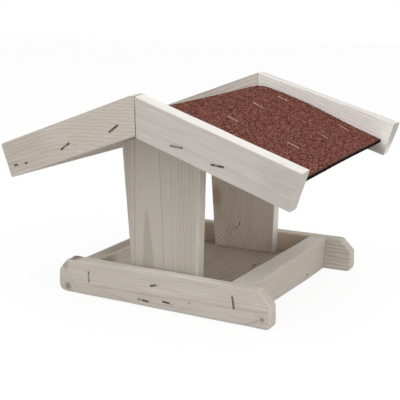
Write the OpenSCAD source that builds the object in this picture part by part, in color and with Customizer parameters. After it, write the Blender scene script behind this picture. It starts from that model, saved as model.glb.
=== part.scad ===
// Wooden bird feeder for a table or shelf: a tray with four rails, two tapered posts and a pitched
// roof of two boards under mineral felt, with a pair of barge boards at each gable.
// Millimetres. X runs along the front rail, the front faces -Y, and Z is up.
// The origin is the middle of the underside, on the surface that the feeder stands on.

/* [Roof] */
// Slope of the roof, in degrees
roof_pitch = 19; // [14:0.5:26]
// Height of the ridge, at the top edges of the barge boards
ridge_h = 201; // [180:1:240]
// Depth of the roof boards from front to back, between the barge boards
roof_depth = 221; // [212:1:260]
// Thickness of a roof board
roof_board_t = 16.5; // [10:0.5:18]
// Length of the left roof board down its slope, along its top
left_roof_board_len = 151; // [130:1:175]
// How much shorter the right roof board is
right_board_short = 17; // [0:1:22]

/* [Felt] */
// Thickness of the roofing felt
felt_t = 3; // [1.5:0.1:4]
// How much longer each slope of the felt is than the left roof board
felt_past_board = 4; // [0:0.5:15]
// How much shorter the right eave of the felt is cut at the back
felt_out_of_square = 7; // [0:0.5:12]
// Gap between each edge of the felt and the barge board beside it
felt_side_gap = 0.4; // [0.1:0.1:2]

/* [Barge boards] */
// How far a barge board runs past the end of the left roof board
barge_past_board = 8; // [2:0.5:20]
// Width of a barge board
barge_w = 35; // [30:0.5:45]
// Thickness of a barge board
barge_t = 13.5; // [8:0.5:18]
// How far the barge boards stand above the felt
barge_stand = 13.5; // [8:0.5:15]
// How much flatter the back right barge board is fixed than the roof, in degrees
slack_barge_turn = 2; // [0:0.1:3]
// How much shorter the back right barge board is than the others
slack_barge_short = 3; // [0:0.5:10]
// How much higher the front left barge board is fixed than the others
high_barge_rise = 2; // [0.5:0.5:4]

/* [Tray] */
// Clear width of the tray between the side rails
tray_w = 148; // [120:1:180]
// Clear depth of the tray between the front rail and the back rail
tray_d = 172; // [150:1:190]
// Thickness of the floor board
floor_t = 12; // [10:0.5:18]
// Length of the front rail and of the back rail
rail_len = 232; // [216:1:280]
// Height of the four rails
rail_h = 34; // [30:0.5:50]
// Thickness of the front rail and of the back rail
rail_t = 12; // [9:0.5:16]
// Size of the sloped cut at the top corners of the front rail and the back rail
rail_chamfer = 12.5; // [5:0.5:18]
// Radius of the bottom corners of the front rail and the back rail
rail_round = 6; // [2:0.5:10]
// How far the back rail is fixed to the right of the middle
back_rail_shift = 3.5; // [0:0.5:6]
// Thickness of the left rail and of the right rail along their tops
side_rail_t = 18; // [12:0.5:20]
// Outward lean of the outer face of each side rail, in degrees
side_rail_lean = 5; // [0:0.5:8]

/* [Posts] */
// Thickness of a post
post_t = 12; // [10:0.5:18]
// Width of a post at the floor board
post_foot_w = 70; // [50:1:90]
// Width of a post at its shoulders, under the roof boards
post_head_w = 84; // [60:1:110]

/* [Staples] */
// Width across the crown of the staples that join the boards
wood_staple_crown = 12; // [10:0.5:13]
// Width across the crown of the staples that hold the felt
felt_staple_crown = 14; // [10:0.5:16]
// Leg length of the staples that join the boards
wood_staple_leg = 20; // [17:0.5:21]
// How far the staples of the roof boards reach into the posts
roof_staple_grip = 10; // [6:0.5:12]
// Leg length of the staples that hold the felt
felt_staple_leg = 10; // [6:0.5:11]
// Width of the flat staple wire
wire_w = 1.2; // [0.8:0.1:1.6]
// Thickness of the flat staple wire
wire_t = 0.7; // [0.5:0.1:1]
// Depth of a crown below the wood that it is driven into
crown_sink = 0.2; // [0:0.05:0.5]
// Clearance all round a staple in its slot
staple_clear = 0.05; // [0.03:0.01:0.2]

/* [Hidden] */

// Depths below the line of the barge boards' top edges, square to the slope
felt_top = barge_stand;
board_top = felt_top + felt_t;
board_mid = board_top + roof_board_t / 2;
board_under = board_top + roof_board_t;

// Lengths down the slopes. The barge boards are measured along their top edges.
right_roof_board_len = left_roof_board_len - right_board_short;
felt_len = left_roof_board_len + felt_past_board;
barge_len = slope_end(left_roof_board_len, board_top) + barge_past_board;

// Faces of the roof, the tray and the posts
barge_rear_y = roof_depth / 2;
barge_face_y = barge_rear_y + barge_t;
felt_edge_y = barge_rear_y - felt_side_gap;
side_in_x = tray_w / 2;
rail_rear_y = tray_d / 2;
rail_face_y = rail_rear_y + rail_t;
post_mid_y = rail_rear_y - post_t / 2;
post_shoulder_z = ridge_point(board_under)[1] - post_head_w / 2 * tan(roof_pitch);
round_step = 15;
overcut = 5;

// Places of the staples, along and across the pieces that they join. A turn is the angle of the
// crown on its face, in degrees. A barge staple is [along the slope, below the middle of the roof
// board, turn], and the last one on a left board is set in from the end of that roof board.
left_eave_staple_in = 9;
left_barge_staples = [
    [32, -3.5, -17],
    [90, -3, -15],
    [slope_end(left_roof_board_len, board_top) - left_eave_staple_in, -1, 6]
];
right_barge_staples = [[52, 1.5, 13], [93, 1, 13]];
// Rows of felt staples: in from the edges of the felt, the ridge and the ends of the roof boards.
// A felt staple is [below its row, from front to back].
felt_row_in = 15;
felt_row_end_y = felt_edge_y - felt_row_in;
felt_row_from_ridge = 39;
felt_row_from_eave = 24;
upper_felt_staples = [[0, -felt_row_end_y], [8, -30], [-1, 38], [3, felt_row_end_y - 6]];
lower_felt_staples = [[0, -felt_row_end_y], [0, -28], [2.5, 36], [2.5, felt_row_end_y - 5]];
felt_staple_turn = -12;
// Rail staples: in from the inside of a side rail, and along and up the front rail and the back rail.
// A floor staple is [along the rail, above the middle of the floor board].
end_staple_in = 5;
end_staple_z = rail_h / 2 + 3;
end_staple_turns = [90, 98];
floor_staples = [[-16, 0], [11, 2]];
floor_staple_turn = -3;
post_staple_x = -2;
post_staple_z = (floor_t + rail_h) / 2;
post_staple_turn = 17;
side_staple_y = 38;
roof_staple_from_ridge = 24;
roof_staple_leg = roof_board_t + roof_staple_grip;

// Point on a slope, this far along it and this deep below it, as [x, z]
function slope_point(along, depth, pitch = roof_pitch) =
    [along * cos(pitch) - depth * sin(pitch), ridge_h - along * sin(pitch) - depth * cos(pitch)];

// Point where both slopes meet at this depth, as [x, z]
function ridge_point(depth, pitch = roof_pitch) = [0, ridge_h - depth / cos(pitch)];

// Distance along a slope to the end of a board of this length whose top lies at this depth
function slope_end(len, depth) = len + depth * tan(roof_pitch);

// Children are drawn with X down one slope of the roof and Z square to it
module on_slope(left) {
    translate([0, 0, ridge_h])
        mirror([left ? 1 : 0, 0, 0])
            rotate([0, roof_pitch, 0])
                children();
}

// Outline in X and Z, drawn through the thickness from y0 to y1
module upright_board(y0, y1, points) {
    translate([0, y1, 0])
        rotate([90, 0, 0])
            linear_extrude(y1 - y0)
                polygon(points);
}

// Board that lies on a slope, cut upright at the ridge and square at the eave
module slope_board(left, top, under, along, y0, y1, pitch = roof_pitch) {
    mirror([left ? 1 : 0, 0, 0])
        upright_board(y0, y1, [
            ridge_point(top, pitch),
            slope_point(along, top, pitch),
            slope_point(along, under, pitch),
            ridge_point(under, pitch)
        ]);
}

// Staple with its crown along X just below the face at z = 0, and its legs downwards.
// With room it is the slot for that staple, open to the face.
module staple(leg, crown, room = 0) {
    crown_z = crown_sink + wire_t + room;
    open_z = room > 0 ? overcut : -crown_sink;
    translate([-crown / 2 - room, -wire_w / 2 - room, -crown_z])
        cube([crown + 2 * room, wire_w + 2 * room, crown_z + open_z]);
    for (end = [-1, 1])
        translate([end * (crown - wire_t) / 2, 0, -crown_sink - leg / 2])
            cube([wire_t + 2 * room, wire_w + 2 * room, leg + 2 * room], center = true);
}

// Slots for the staples of the boards, of the roof boards and of the felt
module wood_slot() {
    staple(wood_staple_leg, wood_staple_crown, staple_clear);
}

module roof_slot() {
    staple(roof_staple_leg, wood_staple_crown, staple_clear);
}

module felt_slot() {
    staple(felt_staple_leg, felt_staple_crown, staple_clear);
}

// Spots turn their children so that z = 0 is the face, and the legs point into the wood
module face_spot(front, x, z, turn) {
    translate([x, front ? -rail_face_y : rail_face_y, z])
        rotate([front ? 90 : -90, 0, 0])
            rotate([0, 0, turn])
                children();
}

// Staples through a long rail into the ends of the side rails
module rail_end_spots(front) {
    for (end = [0, 1])
        face_spot(front, (2 * end - 1) * (side_in_x + end_staple_in), end_staple_z, end_staple_turns[end])
            children();
}

// Staples through a long rail into the edge of the floor board
module rail_floor_spots(front) {
    for (spot = floor_staples)
        face_spot(front, spot[0], floor_t / 2 + spot[1], floor_staple_turn)
            children();
}

// Staple through a long rail into the foot of a post
module post_spot(front) {
    face_spot(front, post_staple_x, post_staple_z, post_staple_turn)
        children();
}

// Staple through a side rail into the edge of the floor board
module side_rail_spot(left) {
    outer_x = side_in_x + side_rail_t - (rail_h - floor_t / 2) * tan(side_rail_lean);
    mirror([left ? 1 : 0, 0, 0])
        translate([outer_x, side_staple_y, floor_t / 2])
            rotate([0, 90, 0])
                rotate([0, 0, 90])
                    children();
}

// Staples through a roof board into the heads of the two posts
module roof_spots(left) {
    on_slope(left)
        for (y = [-post_mid_y, post_mid_y])
            translate([roof_staple_from_ridge + board_top * tan(roof_pitch), y, -board_top])
                children();
}

// Staples through a barge board into the end of a roof board
module barge_spots(front, left) {
    on_slope(left)
        for (spot = left ? left_barge_staples : right_barge_staples)
            translate([spot[0], front ? -barge_face_y : barge_face_y, -board_mid - spot[1]])
                rotate([front ? 90 : -90, 0, 0])
                    rotate([0, 0, front ? spot[2] : -spot[2]])
                        children();
}

// Two rows of staples through the felt into a roof board
module felt_spots(left) {
    board_len = left ? left_roof_board_len : right_roof_board_len;
    upper = [for (spot = upper_felt_staples) [felt_row_from_ridge + spot[0], spot[1]]];
    lower = [for (spot = lower_felt_staples) [board_len - felt_row_from_eave + spot[0], spot[1]]];
    on_slope(left)
        for (spot = concat(upper, lower))
            translate([spot[0] + felt_top * tan(roof_pitch), spot[1], -felt_top])
                rotate([0, 0, felt_staple_turn])
                    children();
}

module floor_board() {
    color("#a3978a")
        difference() {
            translate([-side_in_x, -rail_rear_y, 0])
                cube([tray_w, tray_d, floor_t]);
            rail_floor_spots(true) wood_slot();
            rail_floor_spots(false) wood_slot();
            side_rail_spot(true) wood_slot();
            side_rail_spot(false) wood_slot();
        }
}

// Front rail or back rail, with its top corners cut off and its bottom corners rounded
module long_rail(front) {
    half = rail_len / 2;
    right_end = concat(
        [for (a = [-90 : round_step : 0]) [half - rail_round * (1 - cos(a)), rail_round * (1 + sin(a))]],
        [[half, rail_h - rail_chamfer], [half - rail_chamfer, rail_h]]
    );
    left_end = [for (i = [len(right_end) - 1 : -1 : 0]) [-right_end[i][0], right_end[i][1]]];
    color("#bdb4a9")
        difference() {
            translate([front ? 0 : back_rail_shift, 0, 0])
                upright_board(
                    front ? -rail_face_y : rail_rear_y,
                    front ? -rail_rear_y : rail_face_y,
                    concat(right_end, left_end)
                );
            rail_end_spots(front) wood_slot();
            rail_floor_spots(front) wood_slot();
            post_spot(front) wood_slot();
        }
}

module front_rail() {
    long_rail(true);
}

module back_rail() {
    long_rail(false);
}

// Side rail between the front rail and the back rail, with its outer face leaning outwards
module side_rail(left) {
    top_x = side_in_x + side_rail_t;
    foot_x = top_x - rail_h * tan(side_rail_lean);
    color("#b7aea3")
        difference() {
            mirror([left ? 1 : 0, 0, 0])
                upright_board(-rail_rear_y, rail_rear_y,
                    [[side_in_x, 0], [foot_x, 0], [top_x, rail_h], [side_in_x, rail_h]]);
            rail_end_spots(true) wood_slot();
            rail_end_spots(false) wood_slot();
            side_rail_spot(left) wood_slot();
        }
}

module left_rail() {
    side_rail(true);
}

module right_rail() {
    side_rail(false);
}

// Post that stands on the floor board against a long rail, with its head cut to the roof
module post(front) {
    foot = post_foot_w / 2;
    head = post_head_w / 2;
    color("#b5aca2")
        difference() {
            upright_board(
                front ? -rail_rear_y : rail_rear_y - post_t,
                front ? -rail_rear_y + post_t : rail_rear_y,
                [
                    [-foot, floor_t], [foot, floor_t],
                    [head, post_shoulder_z], ridge_point(board_under), [-head, post_shoulder_z]
                ]
            );
            post_spot(front) wood_slot();
            roof_spots(true) roof_slot();
            roof_spots(false) roof_slot();
        }
}

module front_post() {
    post(true);
}

module back_post() {
    post(false);
}

// Roof board between the barge boards
module roof_board(left, board_len) {
    eave = slope_end(board_len, board_top);
    color("#9a8e82")
        difference() {
            slope_board(left, board_top, board_under, eave, -barge_rear_y, barge_rear_y);
            roof_spots(left) roof_slot();
            barge_spots(true, left) wood_slot();
            barge_spots(false, left) wood_slot();
            felt_spots(left) felt_slot();
        }
}

module left_roof_board() {
    roof_board(true, left_roof_board_len);
}

module right_roof_board() {
    roof_board(false, right_roof_board_len);
}

// Felt folded over the ridge in one sheet, its right eave cut shorter towards the back
module roof_felt() {
    eave = slope_end(felt_len, felt_top);
    right_half = [
        ridge_point(board_top), slope_point(eave, board_top),
        slope_point(eave, felt_top), ridge_point(felt_top)
    ];
    left_half = [for (i = [2, 1]) [-right_half[i][0], right_half[i][1]]];
    cut_turn = atan(felt_out_of_square / (2 * felt_edge_y));
    cut_size = [felt_out_of_square + overcut, 2 * felt_edge_y + 3 * overcut, felt_t + 2 * overcut];
    color("#70443d")
        difference() {
            upright_board(-felt_edge_y, felt_edge_y, concat(right_half, left_half));
            on_slope(false)
                translate([eave, -felt_edge_y, -board_top - overcut])
                    rotate([0, 0, cut_turn])
                        translate([0, -overcut, 0])
                            cube(cut_size);
            felt_spots(true) felt_slot();
            felt_spots(false) felt_slot();
        }
}

// Barge board at one gable, cut upright at the ridge and square at its end. A board that is
// fixed higher by rise is cut level with the ridge.
module barge(front, left, pitch, along = barge_len, rise = 0) {
    color("#c4bcb1")
        difference() {
            slope_board(left, -rise, barge_w - rise, along,
                front ? -barge_face_y : barge_rear_y, front ? -barge_rear_y : barge_face_y, pitch);
            barge_spots(front, left) wood_slot();
            if (rise > 0)
                translate([-barge_len, -barge_face_y - overcut, ridge_h])
                    cube([2 * barge_len, 2 * (barge_face_y + overcut), rise + overcut]);
        }
}

module front_left_barge() {
    barge(true, true, roof_pitch, rise = high_barge_rise);
}

module front_right_barge() {
    barge(true, false, roof_pitch);
}

module back_left_barge() {
    barge(false, true, roof_pitch);
}

module back_right_barge() {
    barge(false, false, roof_pitch - slack_barge_turn, barge_len - slack_barge_short);
}

// Staples of the boards, of the roof boards and of the felt
module wood_staple() {
    color("#5b544c")
        staple(wood_staple_leg, wood_staple_crown);
}

module roof_staple() {
    color("#5b544c")
        staple(roof_staple_leg, wood_staple_crown);
}

module felt_staple() {
    color("#a39c94")
        staple(felt_staple_leg, felt_staple_crown);
}

floor_board();
front_rail();
back_rail();
left_rail();
right_rail();
front_post();
back_post();
left_roof_board();
right_roof_board();
roof_felt();
front_left_barge();
front_right_barge();
back_left_barge();
back_right_barge();
rail_end_spots(true) wood_staple();  // front_rail_end_staples
rail_end_spots(false) wood_staple();  // back_rail_end_staples
rail_floor_spots(true) wood_staple();  // front_rail_floor_staples
rail_floor_spots(false) wood_staple();  // back_rail_floor_staples
side_rail_spot(true) wood_staple();  // left_rail_floor_staple
side_rail_spot(false) wood_staple();  // right_rail_floor_staple
post_spot(true) wood_staple();  // front_post_staple
post_spot(false) wood_staple();  // back_post_staple
roof_spots(true) roof_staple();  // left_roof_staples
roof_spots(false) roof_staple();  // right_roof_staples
barge_spots(true, true) wood_staple();  // front_left_barge_staples
barge_spots(true, false) wood_staple();  // front_right_barge_staples
barge_spots(false, true) wood_staple();  // back_left_barge_staples
barge_spots(false, false) wood_staple();  // back_right_barge_staples
felt_spots(true) felt_staple();  // left_felt_staples
felt_spots(false) felt_staple();  // right_felt_staples
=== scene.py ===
"""Dresses the wooden bird feeder: washed boards, mineral felt, wire staples and a plain studio."""

import logging
import math
from dataclasses import dataclass, field
from enum import Enum
from itertools import product
from typing import Callable, Optional, Sequence, Union

import bmesh
import bpy
import numpy as np
from mathutils import Matrix, Vector


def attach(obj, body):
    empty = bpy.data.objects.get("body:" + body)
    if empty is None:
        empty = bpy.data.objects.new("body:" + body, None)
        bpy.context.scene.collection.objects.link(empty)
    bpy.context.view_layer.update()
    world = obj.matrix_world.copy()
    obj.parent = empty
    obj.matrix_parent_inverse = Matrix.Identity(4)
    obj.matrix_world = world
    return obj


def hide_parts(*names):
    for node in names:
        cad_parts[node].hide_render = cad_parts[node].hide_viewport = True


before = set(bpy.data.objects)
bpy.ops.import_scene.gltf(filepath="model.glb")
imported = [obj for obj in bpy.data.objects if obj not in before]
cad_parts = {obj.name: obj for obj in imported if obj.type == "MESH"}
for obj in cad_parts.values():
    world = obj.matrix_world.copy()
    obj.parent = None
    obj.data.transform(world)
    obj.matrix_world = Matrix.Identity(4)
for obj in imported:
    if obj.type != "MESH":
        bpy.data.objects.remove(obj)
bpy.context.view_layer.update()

log = logging.getLogger("bird_feeder")

Colour = tuple[float, float, float]
Triple = tuple[float, float, float]
Feed = Union[float, tuple, bpy.types.NodeSocket]

# One millimetre in the frame's metres: all sizes below are millimetres
MM = 0.001
# Names of the mesh attributes that the finishes read
GRAIN, EDGE, END, UP, COVER = "grain", "edge", "end", "up", "cover"
# Reach of a mark that runs all along a board or right through it
BOUNDLESS = 1000.0
# Large odd numbers that scatter the cells, the seed and the bits of the noise
CELL_SCATTER = (73856093, 19349663, 83492791)
SEED_SCATTER, BIT_SCATTER = 6542989, 1274126177
# Lines on an eased edge, and the first line past it, in shares of the easing
EASE_LINES, PAST_EASE = (0.0, 0.3, 0.65, 1.0), 1.7


class Gable(Enum):
    """The two ends of the roof, with the sign of the side that each one faces."""

    FRONT = -1
    BACK = 1


class Slope(Enum):
    """The two slopes of the roof, with the sign of the side that each one falls to."""

    LEFT = -1
    RIGHT = 1


class Side(Enum):
    """The six sides of a board: its ends, its edges and its faces."""

    END_HIGH = 0
    END_LOW = 1
    EDGE_HIGH = 2
    EDGE_LOW = 3
    FACE_HIGH = 4
    FACE_LOW = 5


def value_noise(points: np.ndarray, seed: int) -> np.ndarray:
    """Gives smooth seeded noise from -1 to 1.

    Args:
        points: Points measured in noise cells, one row each.
        seed: Number that picks the pattern.

    Returns:
        One value for each point.
    """
    cell = np.floor(points).astype(np.int64)
    part = points - cell
    part = part * part * (3 - 2 * part)
    total = np.zeros(len(points))
    for corner in product((0, 1), repeat=3):
        at = cell + corner
        mixed = np.bitwise_xor.reduce(at * CELL_SCATTER, axis=1) ^ seed * SEED_SCATTER
        mixed = (mixed ^ (mixed >> 13)) * BIT_SCATTER
        value = ((mixed ^ (mixed >> 16)) & 0xFFFF) / 0xFFFF
        total += np.prod(np.where(corner, part, 1 - part), axis=1) * value
    return total * 2 - 1


def grid_lines(length: float, step: float, ease: float) -> np.ndarray:
    """Places grid lines along one side of a board, closer together at its eased edges.

    Args:
        length: Length of the side.
        step: Distance between lines away from the edges.
        ease: Radius of the eased edges.

    Returns:
        The lines' places, from 0 to the length.
    """
    near = ease * np.array(EASE_LINES)
    start = PAST_EASE * ease
    count = max(3, 2 * round((length - 2 * start) / step / 2) + 1)
    inner = np.linspace(start, length - start, count)
    return np.concatenate([near, inner, length - near[::-1]])


def shell(lines: Sequence[np.ndarray]) -> tuple[np.ndarray, np.ndarray, np.ndarray]:
    """Makes the closed skin of a box of grid lines.

    Args:
        lines: Places of the lines along the length, the width and the thickness.

    Returns:
        The skin's points, its four-cornered faces, and the side that each face is on.
    """
    shape = tuple(len(line) for line in lines)
    index = np.full(shape, -1)
    at = np.indices(shape)
    skin = np.zeros(shape, bool)
    for axis, count in enumerate(shape):
        skin |= (at[axis] == 0) | (at[axis] == count - 1)
    index[skin] = np.arange(skin.sum())
    points = np.stack([lines[axis][at[axis][skin]] for axis in range(3)], axis=1)
    sheets = {
        Side.END_HIGH: (index[-1], False),
        Side.END_LOW: (index[0], True),
        Side.EDGE_HIGH: (index[:, -1], True),
        Side.EDGE_LOW: (index[:, 0], False),
        Side.FACE_HIGH: (index[:, :, -1], False),
        Side.FACE_LOW: (index[:, :, 0], True),
    }
    quads, sides = [], []
    for side, (sheet, turned) in sheets.items():
        corners = [sheet[:-1, :-1], sheet[1:, :-1], sheet[1:, 1:], sheet[:-1, 1:]]
        faces = np.stack(corners, axis=-1).reshape(-1, 4)
        quads.append(faces[:, ::-1] if turned else faces)
        sides.append(np.full(len(faces), side.value))
    return points, np.concatenate(quads), np.concatenate(sides)


def ease_box(
    points: np.ndarray, size: np.ndarray, ease: np.ndarray
) -> tuple[np.ndarray, np.ndarray]:
    """Rounds the edges and corners of a box of points.

    Args:
        points: Points on the skin of the box.
        size: Length, width and thickness of the box.
        ease: Radius of the rounding at each point.

    Returns:
        The eased points, and the outward direction at each of them.
    """
    radius = ease[:, None]
    core = np.clip(points, radius, size - radius)
    out = points - core
    out = out / np.maximum(np.linalg.norm(out, axis=1, keepdims=True), 1e-9)
    return core + out * radius, out


def outward(points: np.ndarray, quads: np.ndarray) -> np.ndarray:
    """Turns the faces of a closed mesh so that they face outwards.

    Args:
        points: The mesh's points.
        quads: The mesh's four-cornered faces, all turned the same way.

    Returns:
        The faces, turned round where they enclosed a negative volume.
    """
    a, b, c, d = (points[quads[:, corner]] for corner in range(4))
    volume = np.sum(a * np.cross(b, c)) + np.sum(a * np.cross(c, d))
    return quads if volume > 0 else quads[:, ::-1]


def mesh_object(name: str, points: np.ndarray, quads: np.ndarray) -> bpy.types.Object:
    """Makes a smooth-shaded mesh object in the scene.

    Args:
        name: Name of the piece.
        points: Points in millimetres.
        quads: Faces, as rows of point numbers.

    Returns:
        The new object.
    """
    mesh = bpy.data.meshes.new(name)
    mesh.from_pydata((points * MM).tolist(), [], quads.tolist())
    mesh.shade_smooth()
    piece = bpy.data.objects.new(name, mesh)
    bpy.context.scene.collection.objects.link(piece)
    return piece


def set_attribute(piece: bpy.types.Object, name: str, values: np.ndarray) -> None:
    """Stores one number or one vector for each point of a piece.

    Args:
        piece: The piece's object.
        name: Name of the attribute.
        values: One row for each point.
    """
    kind, slot = ("FLOAT_VECTOR", "vector") if values.ndim == 2 else ("FLOAT", "value")
    attribute = piece.data.attributes.new(name, kind, "POINT")
    attribute.data.foreach_set(slot, values.astype(np.float32).ravel())


def hand_over(piece: bpy.types.Object, node: str, slot: str) -> None:
    """Lets a finished piece stand for its node of the frame.

    Args:
        piece: The piece's object.
        node: The node that it stands for.
        slot: Not used.
    """
    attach(piece, "root")
    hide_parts(node)
    log.info("%s: %d faces, for %s", piece.name, len(piece.data.polygons), node)


class Graph:
    """Adds shader nodes to one material or world, and links them."""

    def __init__(self, owner: Union[bpy.types.Material, bpy.types.World]) -> None:
        """Starts with an empty sheet of nodes.

        Args:
            owner: The material or world that the sheet belongs to.
        """
        owner.use_nodes = True
        self.tree = owner.node_tree
        self.tree.nodes.clear()

    def add(self, kind: str, feeds: dict, **settings: object) -> bpy.types.ShaderNode:
        """Adds one node.

        Args:
            kind: Type of the node.
            feeds: Input names or numbers, each with a value or the socket that feeds it.
            settings: The node's own settings.

        Returns:
            The new node.
        """
        node = self.tree.nodes.new(kind)
        for name, value in settings.items():
            setattr(node, name, value)
        for key, value in feeds.items():
            if isinstance(value, bpy.types.NodeSocket):
                self.tree.links.new(value, node.inputs[key])
            else:
                node.inputs[key].default_value = value
        return node

    def math(self, operation: str, *values: Feed) -> bpy.types.NodeSocket:
        """Adds a number operation on one, two or three values and gives its result."""
        return self.add("ShaderNodeMath", dict(enumerate(values)), operation=operation).outputs[0]

    def vector(self, operation: str, *values: Feed) -> bpy.types.NodeSocket:
        """Adds a vector operation and gives the vector that results."""
        feeds = dict(enumerate(values))
        return self.add("ShaderNodeVectorMath", feeds, operation=operation).outputs["Vector"]

    def length(self, value: Feed) -> bpy.types.NodeSocket:
        """Gives the length of a vector."""
        node = self.add("ShaderNodeVectorMath", {0: value}, operation="LENGTH")
        return node.outputs["Value"]

    def split(self, value: Feed) -> list[bpy.types.NodeSocket]:
        """Gives the three parts of a vector."""
        return list(self.add("ShaderNodeSeparateXYZ", {0: value}).outputs)

    def attribute(self, name: str, output: str) -> bpy.types.NodeSocket:
        """Reads one attribute of the mesh."""
        return self.add("ShaderNodeAttribute", {}, attribute_name=name).outputs[output]

    def noise(self, place: Feed, cell: Triple, detail: float = 2.0) -> bpy.types.NodeSocket:
        """Adds noise from 0 to 1.

        Args:
            place: The socket with the place in millimetres.
            cell: Size of the noise along each direction, in millimetres.
            detail: How much finer noise lies on top of it.

        Returns:
            The noise as a number.
        """
        spot = self.vector("DIVIDE", place, cell)
        feeds = {"Vector": spot, "Scale": 1.0, "Detail": detail, "Roughness": 0.55}
        return self.add("ShaderNodeTexNoise", feeds).outputs[0]

    def ease_range(self, value: Feed, low: Feed, high: Feed, start: Feed, end: Feed
                   ) -> bpy.types.NodeSocket:
        """Maps a value from one range to another, with soft ends.

        Args:
            value: The value.
            low: Where its range starts.
            high: Where its range ends.
            start: What it becomes at the low end and before it.
            end: What it becomes at the high end and past it.

        Returns:
            The mapped value.
        """
        feeds = {0: value, 1: low, 2: high, 3: start, 4: end}
        node = self.add("ShaderNodeMapRange", feeds, interpolation_type="SMOOTHSTEP")
        return node.outputs[0]

    def mix(self, share: Feed, first: Feed, second: Feed) -> bpy.types.NodeSocket:
        """Mixes two colours.

        Args:
            share: Share of the second colour, from 0 to 1.
            first: The first colour.
            second: The second colour.

        Returns:
            The mixed colour.
        """
        first, second = (v if isinstance(v, bpy.types.NodeSocket) else (*v, 1.0)
                         for v in (first, second))
        feeds = {0: share, 6: first, 7: second}
        return self.add("ShaderNodeMix", feeds, data_type="RGBA").outputs[2]

    def ramp(self, value: Feed, stops: Sequence[tuple[float, Colour]]) -> bpy.types.NodeSocket:
        """Turns a number into a colour.

        Args:
            value: The number.
            stops: Places on the scale from 0 to 1, each with its colour.

        Returns:
            The colour.
        """
        node = self.add("ShaderNodeValToRGB", {0: value})
        scale = node.color_ramp.elements
        scale[0].position, scale[1].position = stops[0][0], stops[-1][0]
        scale[0].color, scale[1].color = (*stops[0][1], 1.0), (*stops[-1][1], 1.0)
        for place, colour in stops[1:-1]:
            scale.new(place).color = (*colour, 1.0)
        return node.outputs[0]

    def relief(self, height: Feed, strength: float, deep: float, **settings: object
               ) -> bpy.types.NodeSocket:
        """Gives the directions of a surface with a relief, as deep as this in millimetres."""
        feeds = {"Height": height, "Strength": strength, "Distance": deep * MM}
        return self.add("ShaderNodeBump", feeds, **settings).outputs[0]

    def surface(self, shader: bpy.types.NodeSocket, kind: str = "Material") -> None:
        """Makes a shader the sheet's surface."""
        self.add(f"ShaderNodeOutput{kind}", {"Surface": shader})

    def finish(self, feeds: dict) -> None:
        """Ends the sheet with one main shader fed with these values."""
        self.surface(self.add("ShaderNodeBsdfPrincipled", feeds).outputs[0])


@dataclass(frozen=True)
class KnotOrShade:
    """A knot, a stain or a patch of painted shadow: where it shows on the board, its size and how
    the grain runs round it.
    """

    along: float
    across: float
    length: float
    width: float
    strength: float = 0.6
    bulge: float = 2.0
    tone: Colour = (0.17, 0.12, 0.085)
    spread: float = 4.0
    deep: float = BOUNDLESS


@dataclass(frozen=True)
class Streak:
    """One line or band along the grain, straight or leaning, in its own tone or in the raw wood's;
    some bands are painted light and some painted shade.
    """

    across: float
    width: float
    strength: float
    start: float = -BOUNDLESS
    end: float = BOUNDLESS
    lean: float = 0.0
    tone: Optional[Colour] = None
    deep: float = BOUNDLESS


@dataclass(frozen=True)
class Flame:
    """A pointed arch in the grain, where the saw ran along one year ring."""

    peak: float
    across: float
    tall: float
    half: float
    strength: float


@dataclass(frozen=True)
class Stain:
    """The dark mark that a bare stretch of a staple leaves, in the board's own places."""

    middle: Triple
    along: Triple
    half: float


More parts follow.
